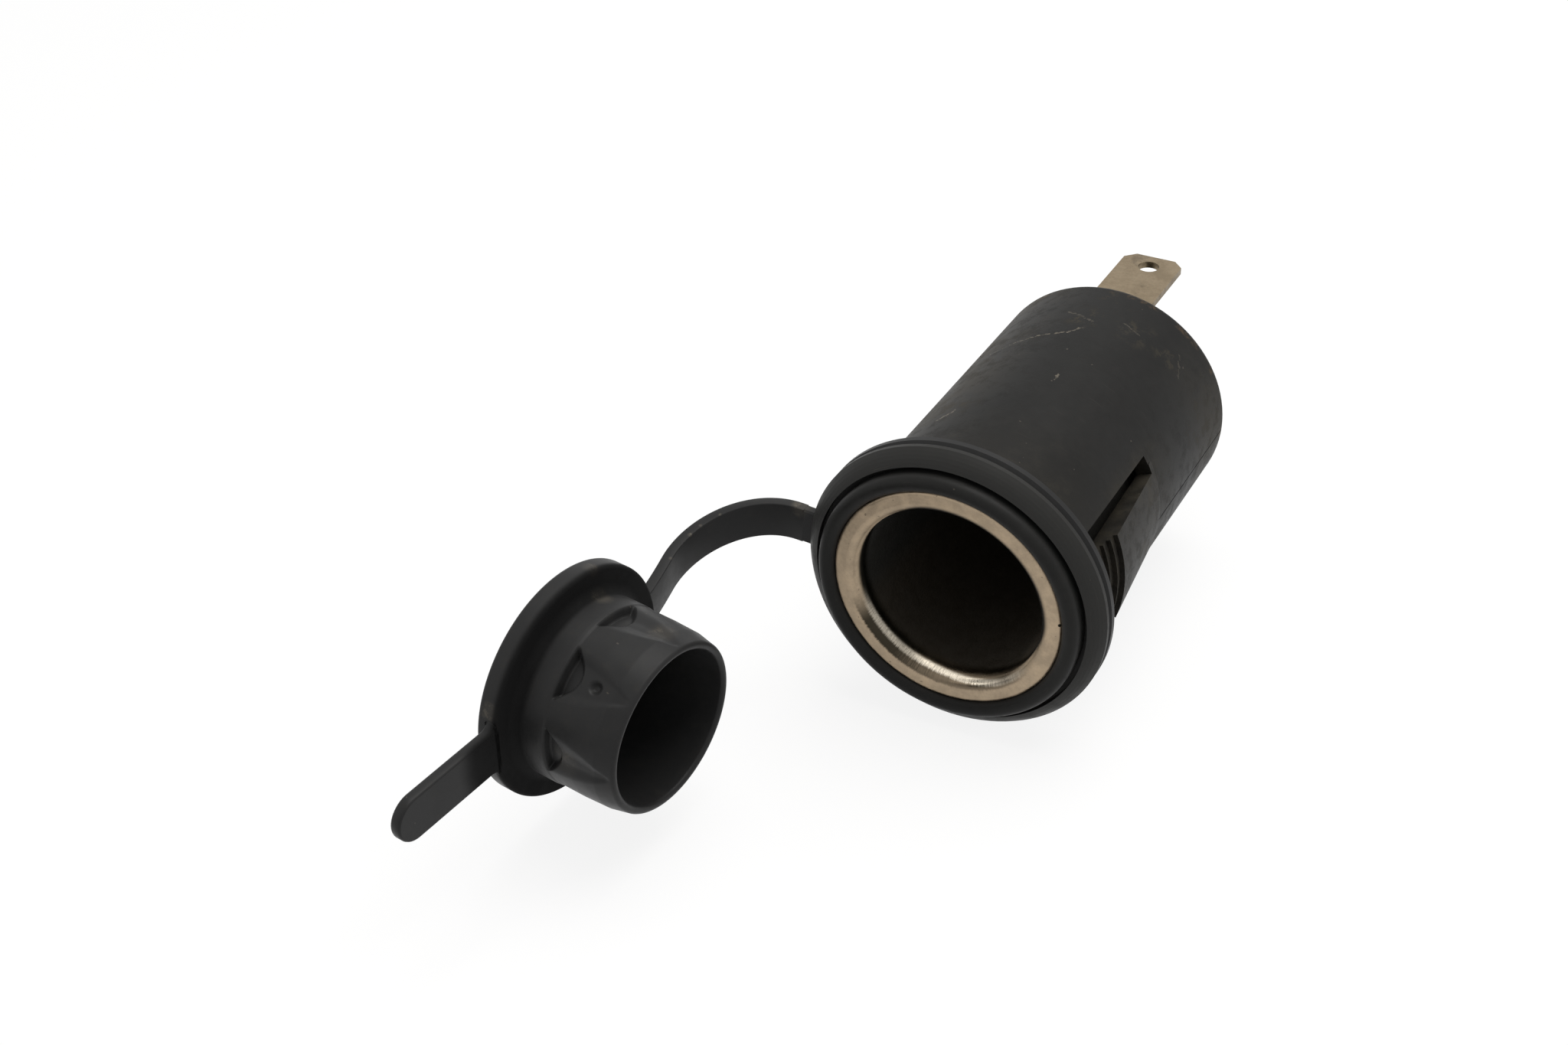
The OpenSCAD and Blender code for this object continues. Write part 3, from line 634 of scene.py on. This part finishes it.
def low_roll_colour(nodes, base, spot, depth, brush, low):
    """Low side of the roll: brown streaks of painted dark reflection, dark towards the left where
    there is also a sooty stain, a painted highlight line inward of them, and a fading tail of
    painted shade"""
    colours = settings().finish
    wavy = nodes.plus(depth, nodes.times(nodes.minus(brush, 0.5), 0.7))
    ridge = nodes.ramp(spot["Angle"], *RIDGE_SPAN)
    tone = nodes.ramp(nodes.plus(spot["Angle"], nodes.times(brush, 30.0)), *BROWN_SPAN)
    # Painted dark reflection: a brown band with brush streaks over the low roll; towards the left
    # it is also a sooty stain
    brown = nodes.mix(tone, colours.roll_dark_soot_and_reflection, colours.roll)
    brown = nodes.tint(brown, colours.roll_streak_reflection, tone, 0.35, nodes.ramp(brush, 0.34, 0.60))
    start = nodes.ramp(nodes.minus(wavy, nodes.times(ridge, 0.12)), *ROLL_START)
    base = nodes.tint(base, brown, start, low, 0.96)
    past = nodes.minus(wavy, ridge)
    # Painted shade: a tail that fades into the bore
    base = nodes.tint(base, colours.roll_tail_shade, nodes.ramp(past, *ROLL_TAIL), low)
    # Painted highlight: the bright line of the roll, brightest near the bottom
    line = nodes.times(nodes.band(past, *HIGHLIGHT_BAND), nodes.ramp(brush, 0.34, 0.58, 0.45, 1.0))
    bright = nodes.largest(nodes.band(spot["Angle"], *BRIGHTEST_BAND), nodes.times(low, 0.40))
    return nodes.tint(base, colours.roll_highlight, line, bright)


def nickel_finish():
    material, nodes, shader, place = new_finish("nickel_steel")
    spot = nodes.group("round_axis", Position=place)
    mottle = nodes.film(place, *WELL_MOTTLE)
    pits = nodes.specks(place, *WELL_PITS)

    # Depth past the flat rim's inner edge, over the rolled lead-in and on into the bore
    across = nodes.largest(nodes.minus(LEAD_IN_EDGE, spot["Radius"]), 0.0)
    depth = nodes.plus(across, nodes.minus(spot["Along"], RIM_FRONT))
    brush = nodes.noise(nodes.mapped(spot["Flat"], (3.2, 0.35, 1.0)), 1.6, 4.0, 0.75)
    near_side = nodes.times(nodes.band(spot["Angle"], *NEAR_BAND), 1.7)
    # Painted shade: past the rim, and sooner on the near side, the colour goes over to the
    # near-black inside colour
    rim_share_before_shade = nodes.ramp(nodes.plus(depth, near_side), *WELL_SHADE_SPAN)
    base = nodes.mix(rim_share_before_shade, settings().finish.inside, rim_colour(nodes, place, mottle, pits))
    low = nodes.band(spot["Angle"], *LOW_BAND)
    base = low_roll_colour(nodes, base, spot, depth, brush, low)

    # Deep in the bore the painted shade is neither metallic nor smooth
    bare = nodes.ramp(depth, *METAL_SPAN)
    nodes.feed(shader["Metallic"], nodes.between(bare, 0.0, 0.92))
    polished = nodes.times(low, nodes.ramp(depth, *POLISH_SPAN), 0.16)
    rough = nodes.minus(nodes.between(mottle, 0.42, 0.56), polished)
    rough = nodes.plus(rough, nodes.between(bare, 0.35, 0.0), clamp=True)
    # The pressed edge runs out slowly into the bore, so the roll's inner part still faces forward
    forward = bump(nodes, nodes.ramp(depth, *RUN_OUT_SPAN), 1.0, RUN_OUT_HEIGHT)
    height = nodes.minus(nodes.noise(place, 2600.0, 4.0, 0.7), nodes.times(pits, 0.8))
    feed_finish(nodes, shader, base, rough, bump(nodes, height, 0.9, normal=forward))
    return material


def blade_finish():
    blade = settings().finish.blade
    material, nodes, shader, place = new_finish("tin_plate", Metallic=0.95)
    mottle = nodes.film(place, *BLADE_MOTTLE)
    base = nodes.mix(mottle, shade(blade, 0.85), shade(blade, 1.2))
    base = nodes.tint(base, shade(blade, 0.35), nodes.film(place, *BLADE_SMUDGE), 0.45)
    drawn = nodes.noise(nodes.mapped(place, (9.0, 0.6, 9.0)), 900.0, 3.0, 0.6)
    feed_finish(nodes, shader, base, nodes.between(mottle, 0.52, 0.40), bump(nodes, drawn, 0.2))
    return material


def brass_finish():
    brass = settings().finish.brass
    material, nodes, shader, place = new_finish("contact_brass", Metallic=1.0)
    mottle = nodes.film(place, *BRASS_MOTTLE)
    feed_finish(nodes, shader, nodes.mix(mottle, shade(brass, 0.55), brass),
                nodes.between(mottle, 0.5, 0.32), bump(nodes, nodes.noise(place, 3000.0), 0.5))
    return material


def insulator_finish():
    paper = settings().finish.insulator
    material, nodes, shader, place = new_finish("insulator", Specular_IOR_Level=0.4)
    ply = nodes.noise(nodes.mapped(place, (1.0, 14.0, 1.0)), 700.0, 3.0, 0.6)
    base = nodes.mix(nodes.ramp(ply, 0.35, 0.65), shade(paper, 0.6), paper)
    rough = nodes.ramp(ply, 0.3, 0.7, 0.62, 0.75)
    feed_finish(nodes, shader, base, rough, bump(nodes, ply, 0.6, PLY_BUMP))
    return material


def cap_face_shade_mask(nodes, place):
    """Mask of the painted shade on the front face of the cap's flange, round the neck"""
    out = nodes.vector("SUBTRACT", place, metres(CAP_CENTRE))
    axis = tuple(cap_turn() @ Vector((0, 1, 0)))
    along = nodes.times(nodes.vector("DOT_PRODUCT", out, axis), 1 / MM)
    near = nodes.ramp(nodes.vector("LENGTH", out), *CAP_FACE_SHADE_REACH)
    return nodes.times(nodes.band(along, *CAP_FACE_SHADE_BAND), near)


def rubber_finish():
    colours = settings().finish
    material, nodes, shader, place = new_finish("cap_rubber", Specular_IOR_Level=0.13)
    cloud = nodes.film(place, *RUBBER_CLOUD)
    fine = nodes.film(place, *RUBBER_FINE_FILM)
    base = nodes.tint(colours.rubber, shade(colours.rubber, 1.5), cloud, 0.35)
    base = nodes.tint(base, colours.dust, fine, 0.08)
    for centre, reach, strength in RUBBER_DIRT:
        away = nodes.vector("DISTANCE", place, metres(centre))
        patch = nodes.ramp(away, reach * 0.3 * MM, reach * MM, 1.0, 0.0)
        uneven = nodes.ramp(fine, 0.0, 0.6, 0.35, 1.0)
        base = nodes.tint(base, colours.chip, patch, uneven, strength)
    base = nodes.tint(base, colours.chip, nodes.specks(place, *RUBBER_SPECKS), 0.30)
    # Painted shade: the flange's face round the neck is made blacker than the rest, standing in for
    # the shade beside the neck
    face = cap_face_shade_mask(nodes, place)
    base = nodes.tint(base, shade(colours.rubber, 0.1), face, 0.85)
    rough = nodes.plus(nodes.between(cloud, 0.38, 0.48), nodes.times(face, 0.4))
    feed_finish(nodes, shader, base, rough, bump(nodes, nodes.grain(place, 3600.0), 0.5))
    return material


def dress(node, material):
    """Puts a finish on every slot of a CAD node"""
    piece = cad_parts[node]
    if not piece.data.materials:
        piece.data.materials.append(material)
    for slot in piece.material_slots:
        slot.material = material


# ---- strap


# The strap as it hangs in the photograph, in runs from the ring into the cap's flange: length
# in millimetres, bend in degrees, steps
STRAP_RUNS = ((0.88, 0.0, 4), (16.97, 96.27, 40), (6.06, 0.0, 8), (0.70, -8.97, 4))
STRAP_SAG = 0.92
# Point of the route where the strap's upper and lower pieces meet, near enough to the ring to
# clear the swung cap
STRAP_MEET = 24


def strap_route():
    """Points of the strap's middle line, in metres, with the roll of its section at each"""
    ring_turn, dip = math.radians(RING_TURN), math.radians(PLUG_DIP)
    start = (FLANGE_RADIUS + STUB) * math.cos(ring_turn)
    whole = sum(run[0] for run in STRAP_RUNS)
    x, y, heading, length = -start, RING_MID_Y, math.pi, 0.0
    stations = [(x, y, heading, length)]
    for reach, bend, steps in STRAP_RUNS:
        turn = math.radians(bend) / steps
        chord = reach / steps * (math.sin(turn / 2) / (turn / 2) if turn else 1.0)
        for _ in range(steps):
            x += chord * math.cos(heading + turn / 2)
            y += chord * math.sin(heading + turn / 2)
            heading += turn
            length += reach / steps
            stations.append((x, y, heading, length))
    points, rolls = [], []
    slope = math.tan(ring_turn)
    for x, y, heading, length in stations:
        t = length / whole
        fade = 3 * t ** 2 - 2 * t ** 3
        height = start * slope * (1 - fade) - STRAP_SAG * fade + slope * length * (1 - t) ** 2
        points.append(Vector((x, y, height)) * MM)
        tilt = ring_turn + (dip - ring_turn) * t
        lean = math.radians(CAP_TURN + 90) * t
        rolls.append(-math.asin(math.sin(tilt) * math.sin(heading - math.pi - lean)))
    return points, rolls


def strap_tree():
    """Sweeps a rounded flat section along a route, between two shares of its length"""
    tree = bpy.data.node_groups.new("strap_sweep", "GeometryNodeTree")
    add_sockets(tree, "INPUT", {
        GEOMETRY: ["Route"],
        FLOAT: ["Width", "Thickness", "Corner", "Step", "From", "To"],
        "NodeSocketInt": ["Corner steps"],
        "NodeSocketMaterial": ["Finish"],
    })
    add_sockets(tree, "OUTPUT", {GEOMETRY: ["Geometry"]})
    nodes = Nodes(tree)
    inside = nodes.add("NodeGroupInput").outputs

    def step(kind, inputs, **values):
        return nodes.add("GeometryNode" + kind, inputs, **values).outputs[0]

    roll = nodes.add("GeometryNodeInputNamedAttribute", {"Name": "roll"}, data_type="FLOAT")
    route = step("MeshToCurve", {0: inside["Route"]})
    route = step("SetCurveNormal", {0: route}, mode="Z_UP")
    route = step("SetCurveTilt", {"Curve": route, "Tilt": roll.outputs["Attribute"]})
    route = step("TrimCurve", {"Curve": route, "Start": inside["From"], "End": inside["To"]},
                 mode="FACTOR")
    route = step("ResampleCurve", {"Curve": route, "Length": inside["Step"]}, mode="LENGTH")
    section = step("CurvePrimitiveQuadrilateral",
                   {"Width": inside["Thickness"], "Height": inside["Width"]})
    section = step("FilletCurve", {"Curve": section, "Count": inside["Corner steps"],
                                   "Radius": inside["Corner"]}, mode="POLY")
    band = step("CurveToMesh", {"Curve": route, "Profile Curve": section, "Fill Caps": True})
    band = step("SetShadeSmooth", {"Geometry": band, "Shade Smooth": True})
    band = step("RealizeInstances", {0: band})
    band = step("SetMaterial", {"Geometry": band, "Material": inside["Finish"]})
    nodes.add("NodeGroupOutput", {"Geometry": band})
    return tree


def share_along(points, index):
    """Share of a route's length that lies before one of its points"""
    lengths = [(q - p).length for p, q in zip(points, points[1:])]
    return sum(lengths[:index]) / sum(lengths)


def link_object(name, data):
    piece = bpy.data.objects.new(name, data)
    bpy.context.scene.collection.objects.link(piece)
    return piece


def strap_piece(name, tree, first, last, finish):
    """The strap between two shares of its route, as a plain mesh without its modifier"""
    values = settings().strap
    points, rolls = strap_route()
    mesh = bpy.data.meshes.new(name + "_route")
    mesh.from_pydata(points, [(i, i + 1) for i in range(len(points) - 1)], [])
    mesh.attributes.new("roll", "FLOAT", "POINT").data.foreach_set("value", rolls)
    source = link_object(name + "_source", mesh)
    modifier = source.modifiers.new("sweep", "NODES")
    modifier.node_group = tree
    inputs = {"Width": values.width, "Thickness": values.thickness, "Corner": values.corner,
              "Step": values.step, "From": first, "To": last,
              "Corner steps": values.corner_steps, "Finish": finish}
    for socket in tree.interface.items_tree:
        if socket.in_out == "INPUT" and socket.name in inputs:
            modifier[socket.identifier] = inputs[socket.name]
    graph = bpy.context.evaluated_depsgraph_get()
    swept = bpy.data.meshes.new_from_object(source.evaluated_get(graph))
    bpy.data.objects.remove(source)
    return link_object(name, swept)


# ---- cap


# The moulded rubber is softer than the CAD's cap: its fillet, crease and recesses, as
# multiples of the CAD's sizes
FILLET_SOFTNESS = 2.2
CREASE_SOFTNESS = 0.4
LEAF_WIDER = 0.6
LEAF_TAPER = 1.9
LEAF_FADE = 0.6
LEAF_DEEPER = 1.1
POCKET_LONGER = 1.2
POCKET_WIDER = 0.72
# How sharp a recess's side and how deep its pocket are, in the dimpled one and in the others
DIMPLED_RECESS, PLAIN_RECESS = (0.5, 1.2), (0.2, 0.9)
DIMPLED_LEAF = 1
DIMPLE_DEPTH = 0.55
CAP_SEGMENTS = 420
TAB_EDGE = 0.22
MERGE_DISTANCE = 0.002 * MM


def arc(centre, radius, first, last, steps):
    """Points of an arc between two angles, in degrees"""
    angles = [math.radians(first + (last - first) * i / steps) for i in range(steps + 1)]
    return [(centre[0] + radius * math.cos(a), centre[1] + radius * math.sin(a)) for a in angles]


def spaced(points, step):
    """A polyline with points added so that no stretch is longer than the step"""
    result = [points[0]]
    for p, q in zip(points, points[1:]):
        count = max(1, math.ceil(math.dist(p, q) / step))
        result += [(p[0] + (q[0] - p[0]) * i / count, p[1] + (q[1] - p[1]) * i / count)
                   for i in range(1, count + 1)]
    return result


def cap_turn():
    """Turn of the hanging cap, whose own axis is Y"""
    return (Matrix.Rotation(math.radians(CAP_TURN), 4, "Z")
            @ Matrix.Rotation(math.radians(-PLUG_DIP), 4, "X"))


def cap_outline():
    """Outline of the cap as radius and place along its axis, from the outer face round to the
    hollow's bottom"""
    inner = CAP_RADIUS - CAP_ROUND
    outside = [(0.0, -CAP_THICKNESS), (inner, -CAP_THICKNESS)]
    outside += arc((inner, CAP_ROUND - CAP_THICKNESS), CAP_ROUND, -90, 0, 6)
    outside += arc((inner, -CAP_ROUND), CAP_ROUND, 0, 90, 6)
    round_off = NECK_FILLET * FILLET_SOFTNESS
    fillet = arc((NECK_RADIUS + round_off, round_off), round_off, 270, 180, 12)
    soft = CREASE * CREASE_SOFTNESS
    body = [(NECK_RADIUS, NECK_LENGTH - 2 * CREASE),
            (NECK_RADIUS - soft * 0.3, NECK_LENGTH - CREASE * 0.7),
            (NECK_RADIUS - soft, NECK_LENGTH),
            (BODY_RADIUS, NECK_LENGTH + CREASE),
            (BODY_RADIUS, NECK_LENGTH + BODY_STRAIGHT),
            ((BODY_RADIUS + MOUTH_RADIUS) / 2 + MOUTH_DOME, PLUG_LENGTH - MOUTH_RUN)]
    lip = (MOUTH_RADIUS - HOLLOW_RADIUS) / 2
    mouth = arc((MOUTH_RADIUS - lip, PLUG_LENGTH - lip), lip, 0, 180, 10)
    hollow = [mouth[-1], (HOLLOW_RADIUS - HOLLOW_DRAFT, 0.0), (0.0, 0.0)]
    side = spaced(fillet + body + mouth[:1], 0.14)
    return spaced(outside, 2.0) + side + mouth[1:] + spaced(hollow, 1.0)[1:]


def soft_step(value, low, high):
    t = min(1.0, max(0.0, (value - low) / (high - low)))
    return t * t * (3 - 2 * t)


def leaf_recess(side, along, dimpled):
    """Depth of a leaf-shaped recess at a place beside its middle line and along the plug from
    the neck's end"""
    share = min(1.0, max(0.0, along / LEAF_LENGTH))
    width = LEAF_WIDTH * LEAF_WIDER * (1 - share ** LEAF_TAPER)
    sharp, deep = DIMPLED_RECESS if dimpled else PLAIN_RECESS
    leaf = LEAF_DEPTH * LEAF_DEEPER * (1 - share) ** LEAF_FADE
    leaf *= 1 - soft_step(abs(side), width * sharp, width + 0.15)
    end = POCKET_LENGTH * POCKET_LONGER * (1 - (side / (POCKET_WIDTH * POCKET_WIDER)) ** 2)
    pocket = POCKET_DEPTH * deep * (1 - soft_step(along, end - 0.35, end + 0.2))
    depth = max(leaf, pocket)
    if dimpled:
        away = math.hypot(side, along - DIMPLE_IN - 0.3)
        depth += DIMPLE_DEPTH * (1 - soft_step(away, DIMPLE_RADIUS * 0.25, DIMPLE_RADIUS * 0.9))
    to_mouth = PLUG_LENGTH - NECK_LENGTH - along
    return depth * soft_step(along, -0.1, 0.2) * soft_step(to_mouth, 0.3, 1.0)


def cap_shell(turns):
    """Vertices and faces of the cap's round body, turned about the Y axis"""
    outline = cap_outline()
    vertices, faces = [], []
    neck_end = outline.index((NECK_RADIUS, NECK_LENGTH - 2 * CREASE))
    for row, (radius, along) in enumerate(outline):
        on_body = row > neck_end and radius > MOUTH_RADIUS - 0.2 and along > 0
        for i in range(turns):
            angle = 360 * i / turns
            out = radius
            if on_body:
                leaf = round(angle * LEAF_COUNT / 360)
                side = math.radians(angle - leaf * 360 / LEAF_COUNT) * BODY_RADIUS
                out -= leaf_recess(side, along - NECK_LENGTH, leaf % LEAF_COUNT == DIMPLED_LEAF)
            a = math.radians(angle)
            vertices.append((out * math.cos(a), along, out * math.sin(a)))
    for row in range(len(outline) - 1):
        for i in range(turns):
            a, b = row * turns + i, row * turns + (i + 1) % turns
            faces.append((a, a + turns, b + turns, b))
    return vertices, faces


def tab_outline():
    """Outline of the pull tab, from inside the flange round its end, as radial and sideways
    place"""
    half = TAB_WIDTH / 2
    side = half + TAB_FILLET
    reach = math.sqrt((CAP_RADIUS + TAB_FILLET) ** 2 - side ** 2)
    lean = math.degrees(math.atan2(side, reach))
    upper = [(CAP_RADIUS - 1.0, half * 0.9)]
    upper += arc((reach, side), TAB_FILLET, 180 + lean, 270, 8)
    end = arc((TAB_REACH - half, 0), half, 90, -90, 24)
    return upper + end + [(x, -z) for x, z in reversed(upper)]


def flat_piece(outline, low, high, edge):
    """Vertices and faces of a flat piece with rounded edges between two heights"""
    vertices, faces, count = [], [], len(outline)
    rings = [(low, edge), (low + edge * 0.3, edge * 0.3), (low + edge, 0.0),
             (high - edge, 0.0), (high - edge * 0.3, edge * 0.3), (high, edge)]
    for height, inset in rings:
        for i, point in enumerate(outline):
            before, after = Vector(outline[i - 1]), Vector(outline[(i + 1) % count])
            along = (after - before).normalized()
            vertices.append((point[0] + along[1] * inset, height, point[1] - along[0] * inset))
    for ring in range(len(rings) - 1):
        for i in range(count):
            a, b = ring * count + i, ring * count + (i + 1) % count
            faces.append((a, b, b + count, a + count))
    faces.append(tuple(range(count - 1, -1, -1)))
    faces.append(tuple((len(rings) - 1) * count + i for i in range(count)))
    return vertices, faces


def cap_piece(finish):
    """The cap with softly moulded recesses and its pull tab, as one smooth mesh"""
    vertices, faces = [], []
    tab = flat_piece(tab_outline(), -STRAP_THICKNESS, 0.0, TAB_EDGE)
    for more_vertices, more_faces in (cap_shell(CAP_SEGMENTS), tab):
        faces += [tuple(i + len(vertices) for i in face) for face in more_faces]
        vertices += more_vertices
    mesh = bpy.data.meshes.new("cap_moulding")
    mesh.from_pydata([Vector(v) * MM for v in vertices], [], faces)
    mesh.transform(Matrix.Translation(Vector(CAP_CENTRE) * MM) @ cap_turn()
                   @ Matrix.Translation((0, STRAP_THICKNESS / 2 * MM, 0)))
    mesh.materials.append(finish)
    shell = bmesh.new()
    shell.from_mesh(mesh)
    bmesh.ops.remove_doubles(shell, verts=shell.verts, dist=MERGE_DISTANCE)
    bmesh.ops.recalc_face_normals(shell, faces=shell.faces)
    for face in shell.faces:
        face.smooth = len(face.verts) < 5
    shell.to_mesh(mesh)
    shell.free()
    return link_object("cap_moulding", mesh)


# ---- stage


SENSOR_WIDTH = 36.0
NEAR_LIMIT = 0.01
# Lamps: place, side of the square, colour; their powers are in the settings
LAMPS = {
    "key": ((0.10, 0.16, 0.62), 0.55, (1.0, 0.985, 0.96)),
    "fill": ((-0.45, -0.40, 0.30), 0.50, (1.0, 0.98, 0.95)),
    "side": ((0.55, 0.05, 0.25), 0.45, (0.97, 0.985, 1.0)),
}
# Grey that the floor throws back on the object, and grey that the camera sees under the glow
FLOOR_GREY = (0.80, 0.80, 0.80, 1)
SHOWN_GREY = (0.16, 0.16, 0.16, 1)


def split_surface(nodes, lit, shown):
    """Lights the object with one shader, and shows another to the camera and in metal or glass"""
    path = nodes.add("ShaderNodeLightPath").outputs
    rays = nodes.largest(*(path[f"Is {kind} Ray"] for kind in ("Camera", "Glossy", "Transmission")))
    both = nodes.add("ShaderNodeMixShader", {0: rays, 1: lit.outputs[0], 2: shown.outputs[0]})
    output = next(node for node in nodes.tree.nodes if node.name.endswith("Output"))
    nodes.feed(output.inputs["Surface"], both.outputs[0])


class POWERSOCKET_OT_stage(bpy.types.Operator):
    """Builds the floor, the soft lamps, the pale world and the camera"""

    bl_idname = "power_socket.stage"
    bl_label = "Stage"

    def execute(self, context):
        values = settings().stage
        scene = context.scene
        scene.view_settings.view_transform = "Standard"
        self.build_world(scene, values)
        self.build_floor(values)
        for name, (place, size, colour) in LAMPS.items():
            self.build_lamp(name + "_lamp", place, size, getattr(values, name + "_power"), colour)
        self.build_camera(scene, values)
        return {"FINISHED"}

    def build_world(self, scene, values):
        world = bpy.data.worlds.new("pale_room")
        world.use_nodes = True
        scene.world = world
        nodes = Nodes(world.node_tree)
        lit = world.node_tree.nodes["Background"]
        lit.inputs["Strength"].default_value = values.ambient
        lit.inputs["Color"].default_value = WHITE
        white = nodes.add("ShaderNodeBackground", {"Color": WHITE, "Strength": 1.0})
        split_surface(nodes, lit, white)

    def build_floor(self, values):
        half = values.floor_size / 2
        mesh = bpy.data.meshes.new("floor")
        corners = [(-half, -half), (half, -half), (half, half), (-half, half)]
        mesh.from_pydata([(x, y, values.floor_height) for x, y in corners], [], [(0, 1, 2, 3)])
        material = bpy.data.materials.new("pale_floor")
        material.use_nodes = True
        tree = material.node_tree
        tree.nodes.remove(tree.nodes["Principled BSDF"])
        nodes = Nodes(tree)
        matt = nodes.add("ShaderNodeBsdfDiffuse", {"Color": FLOOR_GREY})
        shown = nodes.add("ShaderNodeBsdfDiffuse", {"Color": SHOWN_GREY})
        glow = nodes.add("ShaderNodeEmission", {"Color": WHITE, "Strength": values.floor_glow})
        bright = nodes.add("ShaderNodeAddShader", {0: shown.outputs[0], 1: glow.outputs[0]})
        split_surface(nodes, matt, bright)
        mesh.materials.append(material)
        floor = link_object("floor", mesh)

    def build_lamp(self, name, place, size, power, colour):
        light = bpy.data.lights.new(name, "AREA")
        light.shape = "SQUARE"
        light.size = size
        light.energy = power
        light.color = colour
        lamp = link_object(name, light)
        lamp.location = place
        lamp.rotation_euler = (-Vector(place)).to_track_quat("-Z", "Y").to_euler()

    def build_camera(self, scene, values):
        data = bpy.data.cameras.new("camera")
        data.sensor_fit = "HORIZONTAL"
        data.sensor_width = SENSOR_WIDTH
        data.lens = values.lens
        data.clip_start = NEAR_LIMIT
        camera = link_object("camera", data)
        camera.matrix_world = (
            Matrix.Translation(values.camera_place)
            @ Matrix.Rotation(values.camera_heading, 4, "Z")
            @ Matrix.Rotation(math.pi / 2 - values.camera_drop, 4, "X")
            @ Matrix.Rotation(values.camera_roll, 4, "Z"))
        scene.camera = camera


# ---- pieces


class POWERSOCKET_OT_housing(bpy.types.Operator):
    """Gives the barrel, flange and bead their dusty satin plastic"""

    bl_idname = "power_socket.housing"
    bl_label = "Housing"

    def execute(self, context):
        dress("housing", plastic_finish())
        return {"FINISHED"}


class POWERSOCKET_OT_metal(bpy.types.Operator):
    """Gives the well, the terminals and the contacts their metals, and the washers their paper"""

    bl_idname = "power_socket.metal"
    bl_label = "Metal parts"

    def execute(self, context):
        for finish, dressed in (
                (nickel_finish, ("well",)),
                (blade_finish, ("centre_terminal", "ground_terminal", "ground_rivets")),
                (brass_finish, ("contact_disc", "centre_rivet")),
                (insulator_finish, ("inner_washer", "shoulder_washer"))):
            material = finish()
            for node in dressed:
                dress(node, material)
        return {"FINISHED"}


class POWERSOCKET_OT_rubber(bpy.types.Operator):
    """Gives the ring and cap their rubber and sweeps the strap that joins them"""

    bl_idname = "power_socket.rubber"
    bl_label = "Rubber parts"

    def execute(self, context):
        rubber = rubber_finish()
        dress("cap_ring", rubber)
        cap = cap_piece(rubber)
        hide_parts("cap")
        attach(cap, "cap")
        tree = strap_tree()
        points, _ = strap_route()
        share = share_along(points, STRAP_MEET)
        upper = strap_piece("strap_upper", tree, 0.0, share, rubber)
        lower = strap_piece("strap_lower", tree, share, 1.0, rubber)
        for piece in (upper, lower):
            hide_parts("cap_strap")
        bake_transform(upper)
        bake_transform(lower)
        return {"FINISHED"}


class POWERSOCKET_PT_panel(bpy.types.Panel):
    """Lists the settings and the steps of the power socket's looks"""

    bl_idname = "POWERSOCKET_PT_panel"
    bl_label = "Power socket"
    bl_space_type = "VIEW_3D"
    bl_region_type = "UI"
    bl_category = "Power socket"

    def draw(self, context):
        layout = self.layout
        values = context.scene.power_socket
        groups = (("Stage", values.stage), ("Finishes", values.finish), ("Strap", values.strap))
        for title, group in groups:
            box = layout.box()
            box.label(text=title)
            for name in group.__annotations__:
                box.prop(group, name)
        for operator in OPERATORS:
            layout.operator(operator.bl_idname)


OPERATORS = (POWERSOCKET_OT_stage, POWERSOCKET_OT_housing, POWERSOCKET_OT_metal,
             POWERSOCKET_OT_rubber)
CLASSES = (StageSettings, FinishSettings, StrapSettings, SocketSettings, *OPERATORS,
           POWERSOCKET_PT_panel)


def register():
    for cls in CLASSES:
        bpy.utils.register_class(cls)
    bpy.types.Scene.power_socket = PointerProperty(type=SocketSettings)


def unregister():
    del bpy.types.Scene.power_socket
    for cls in reversed(CLASSES):
        bpy.utils.unregister_class(cls)


def main():
    register()
    build_effects()
    bpy.ops.power_socket.stage()
    bpy.ops.power_socket.housing()
    bpy.ops.power_socket.metal()
    bpy.ops.power_socket.rubber()


if __name__ == "__main__":
    main()
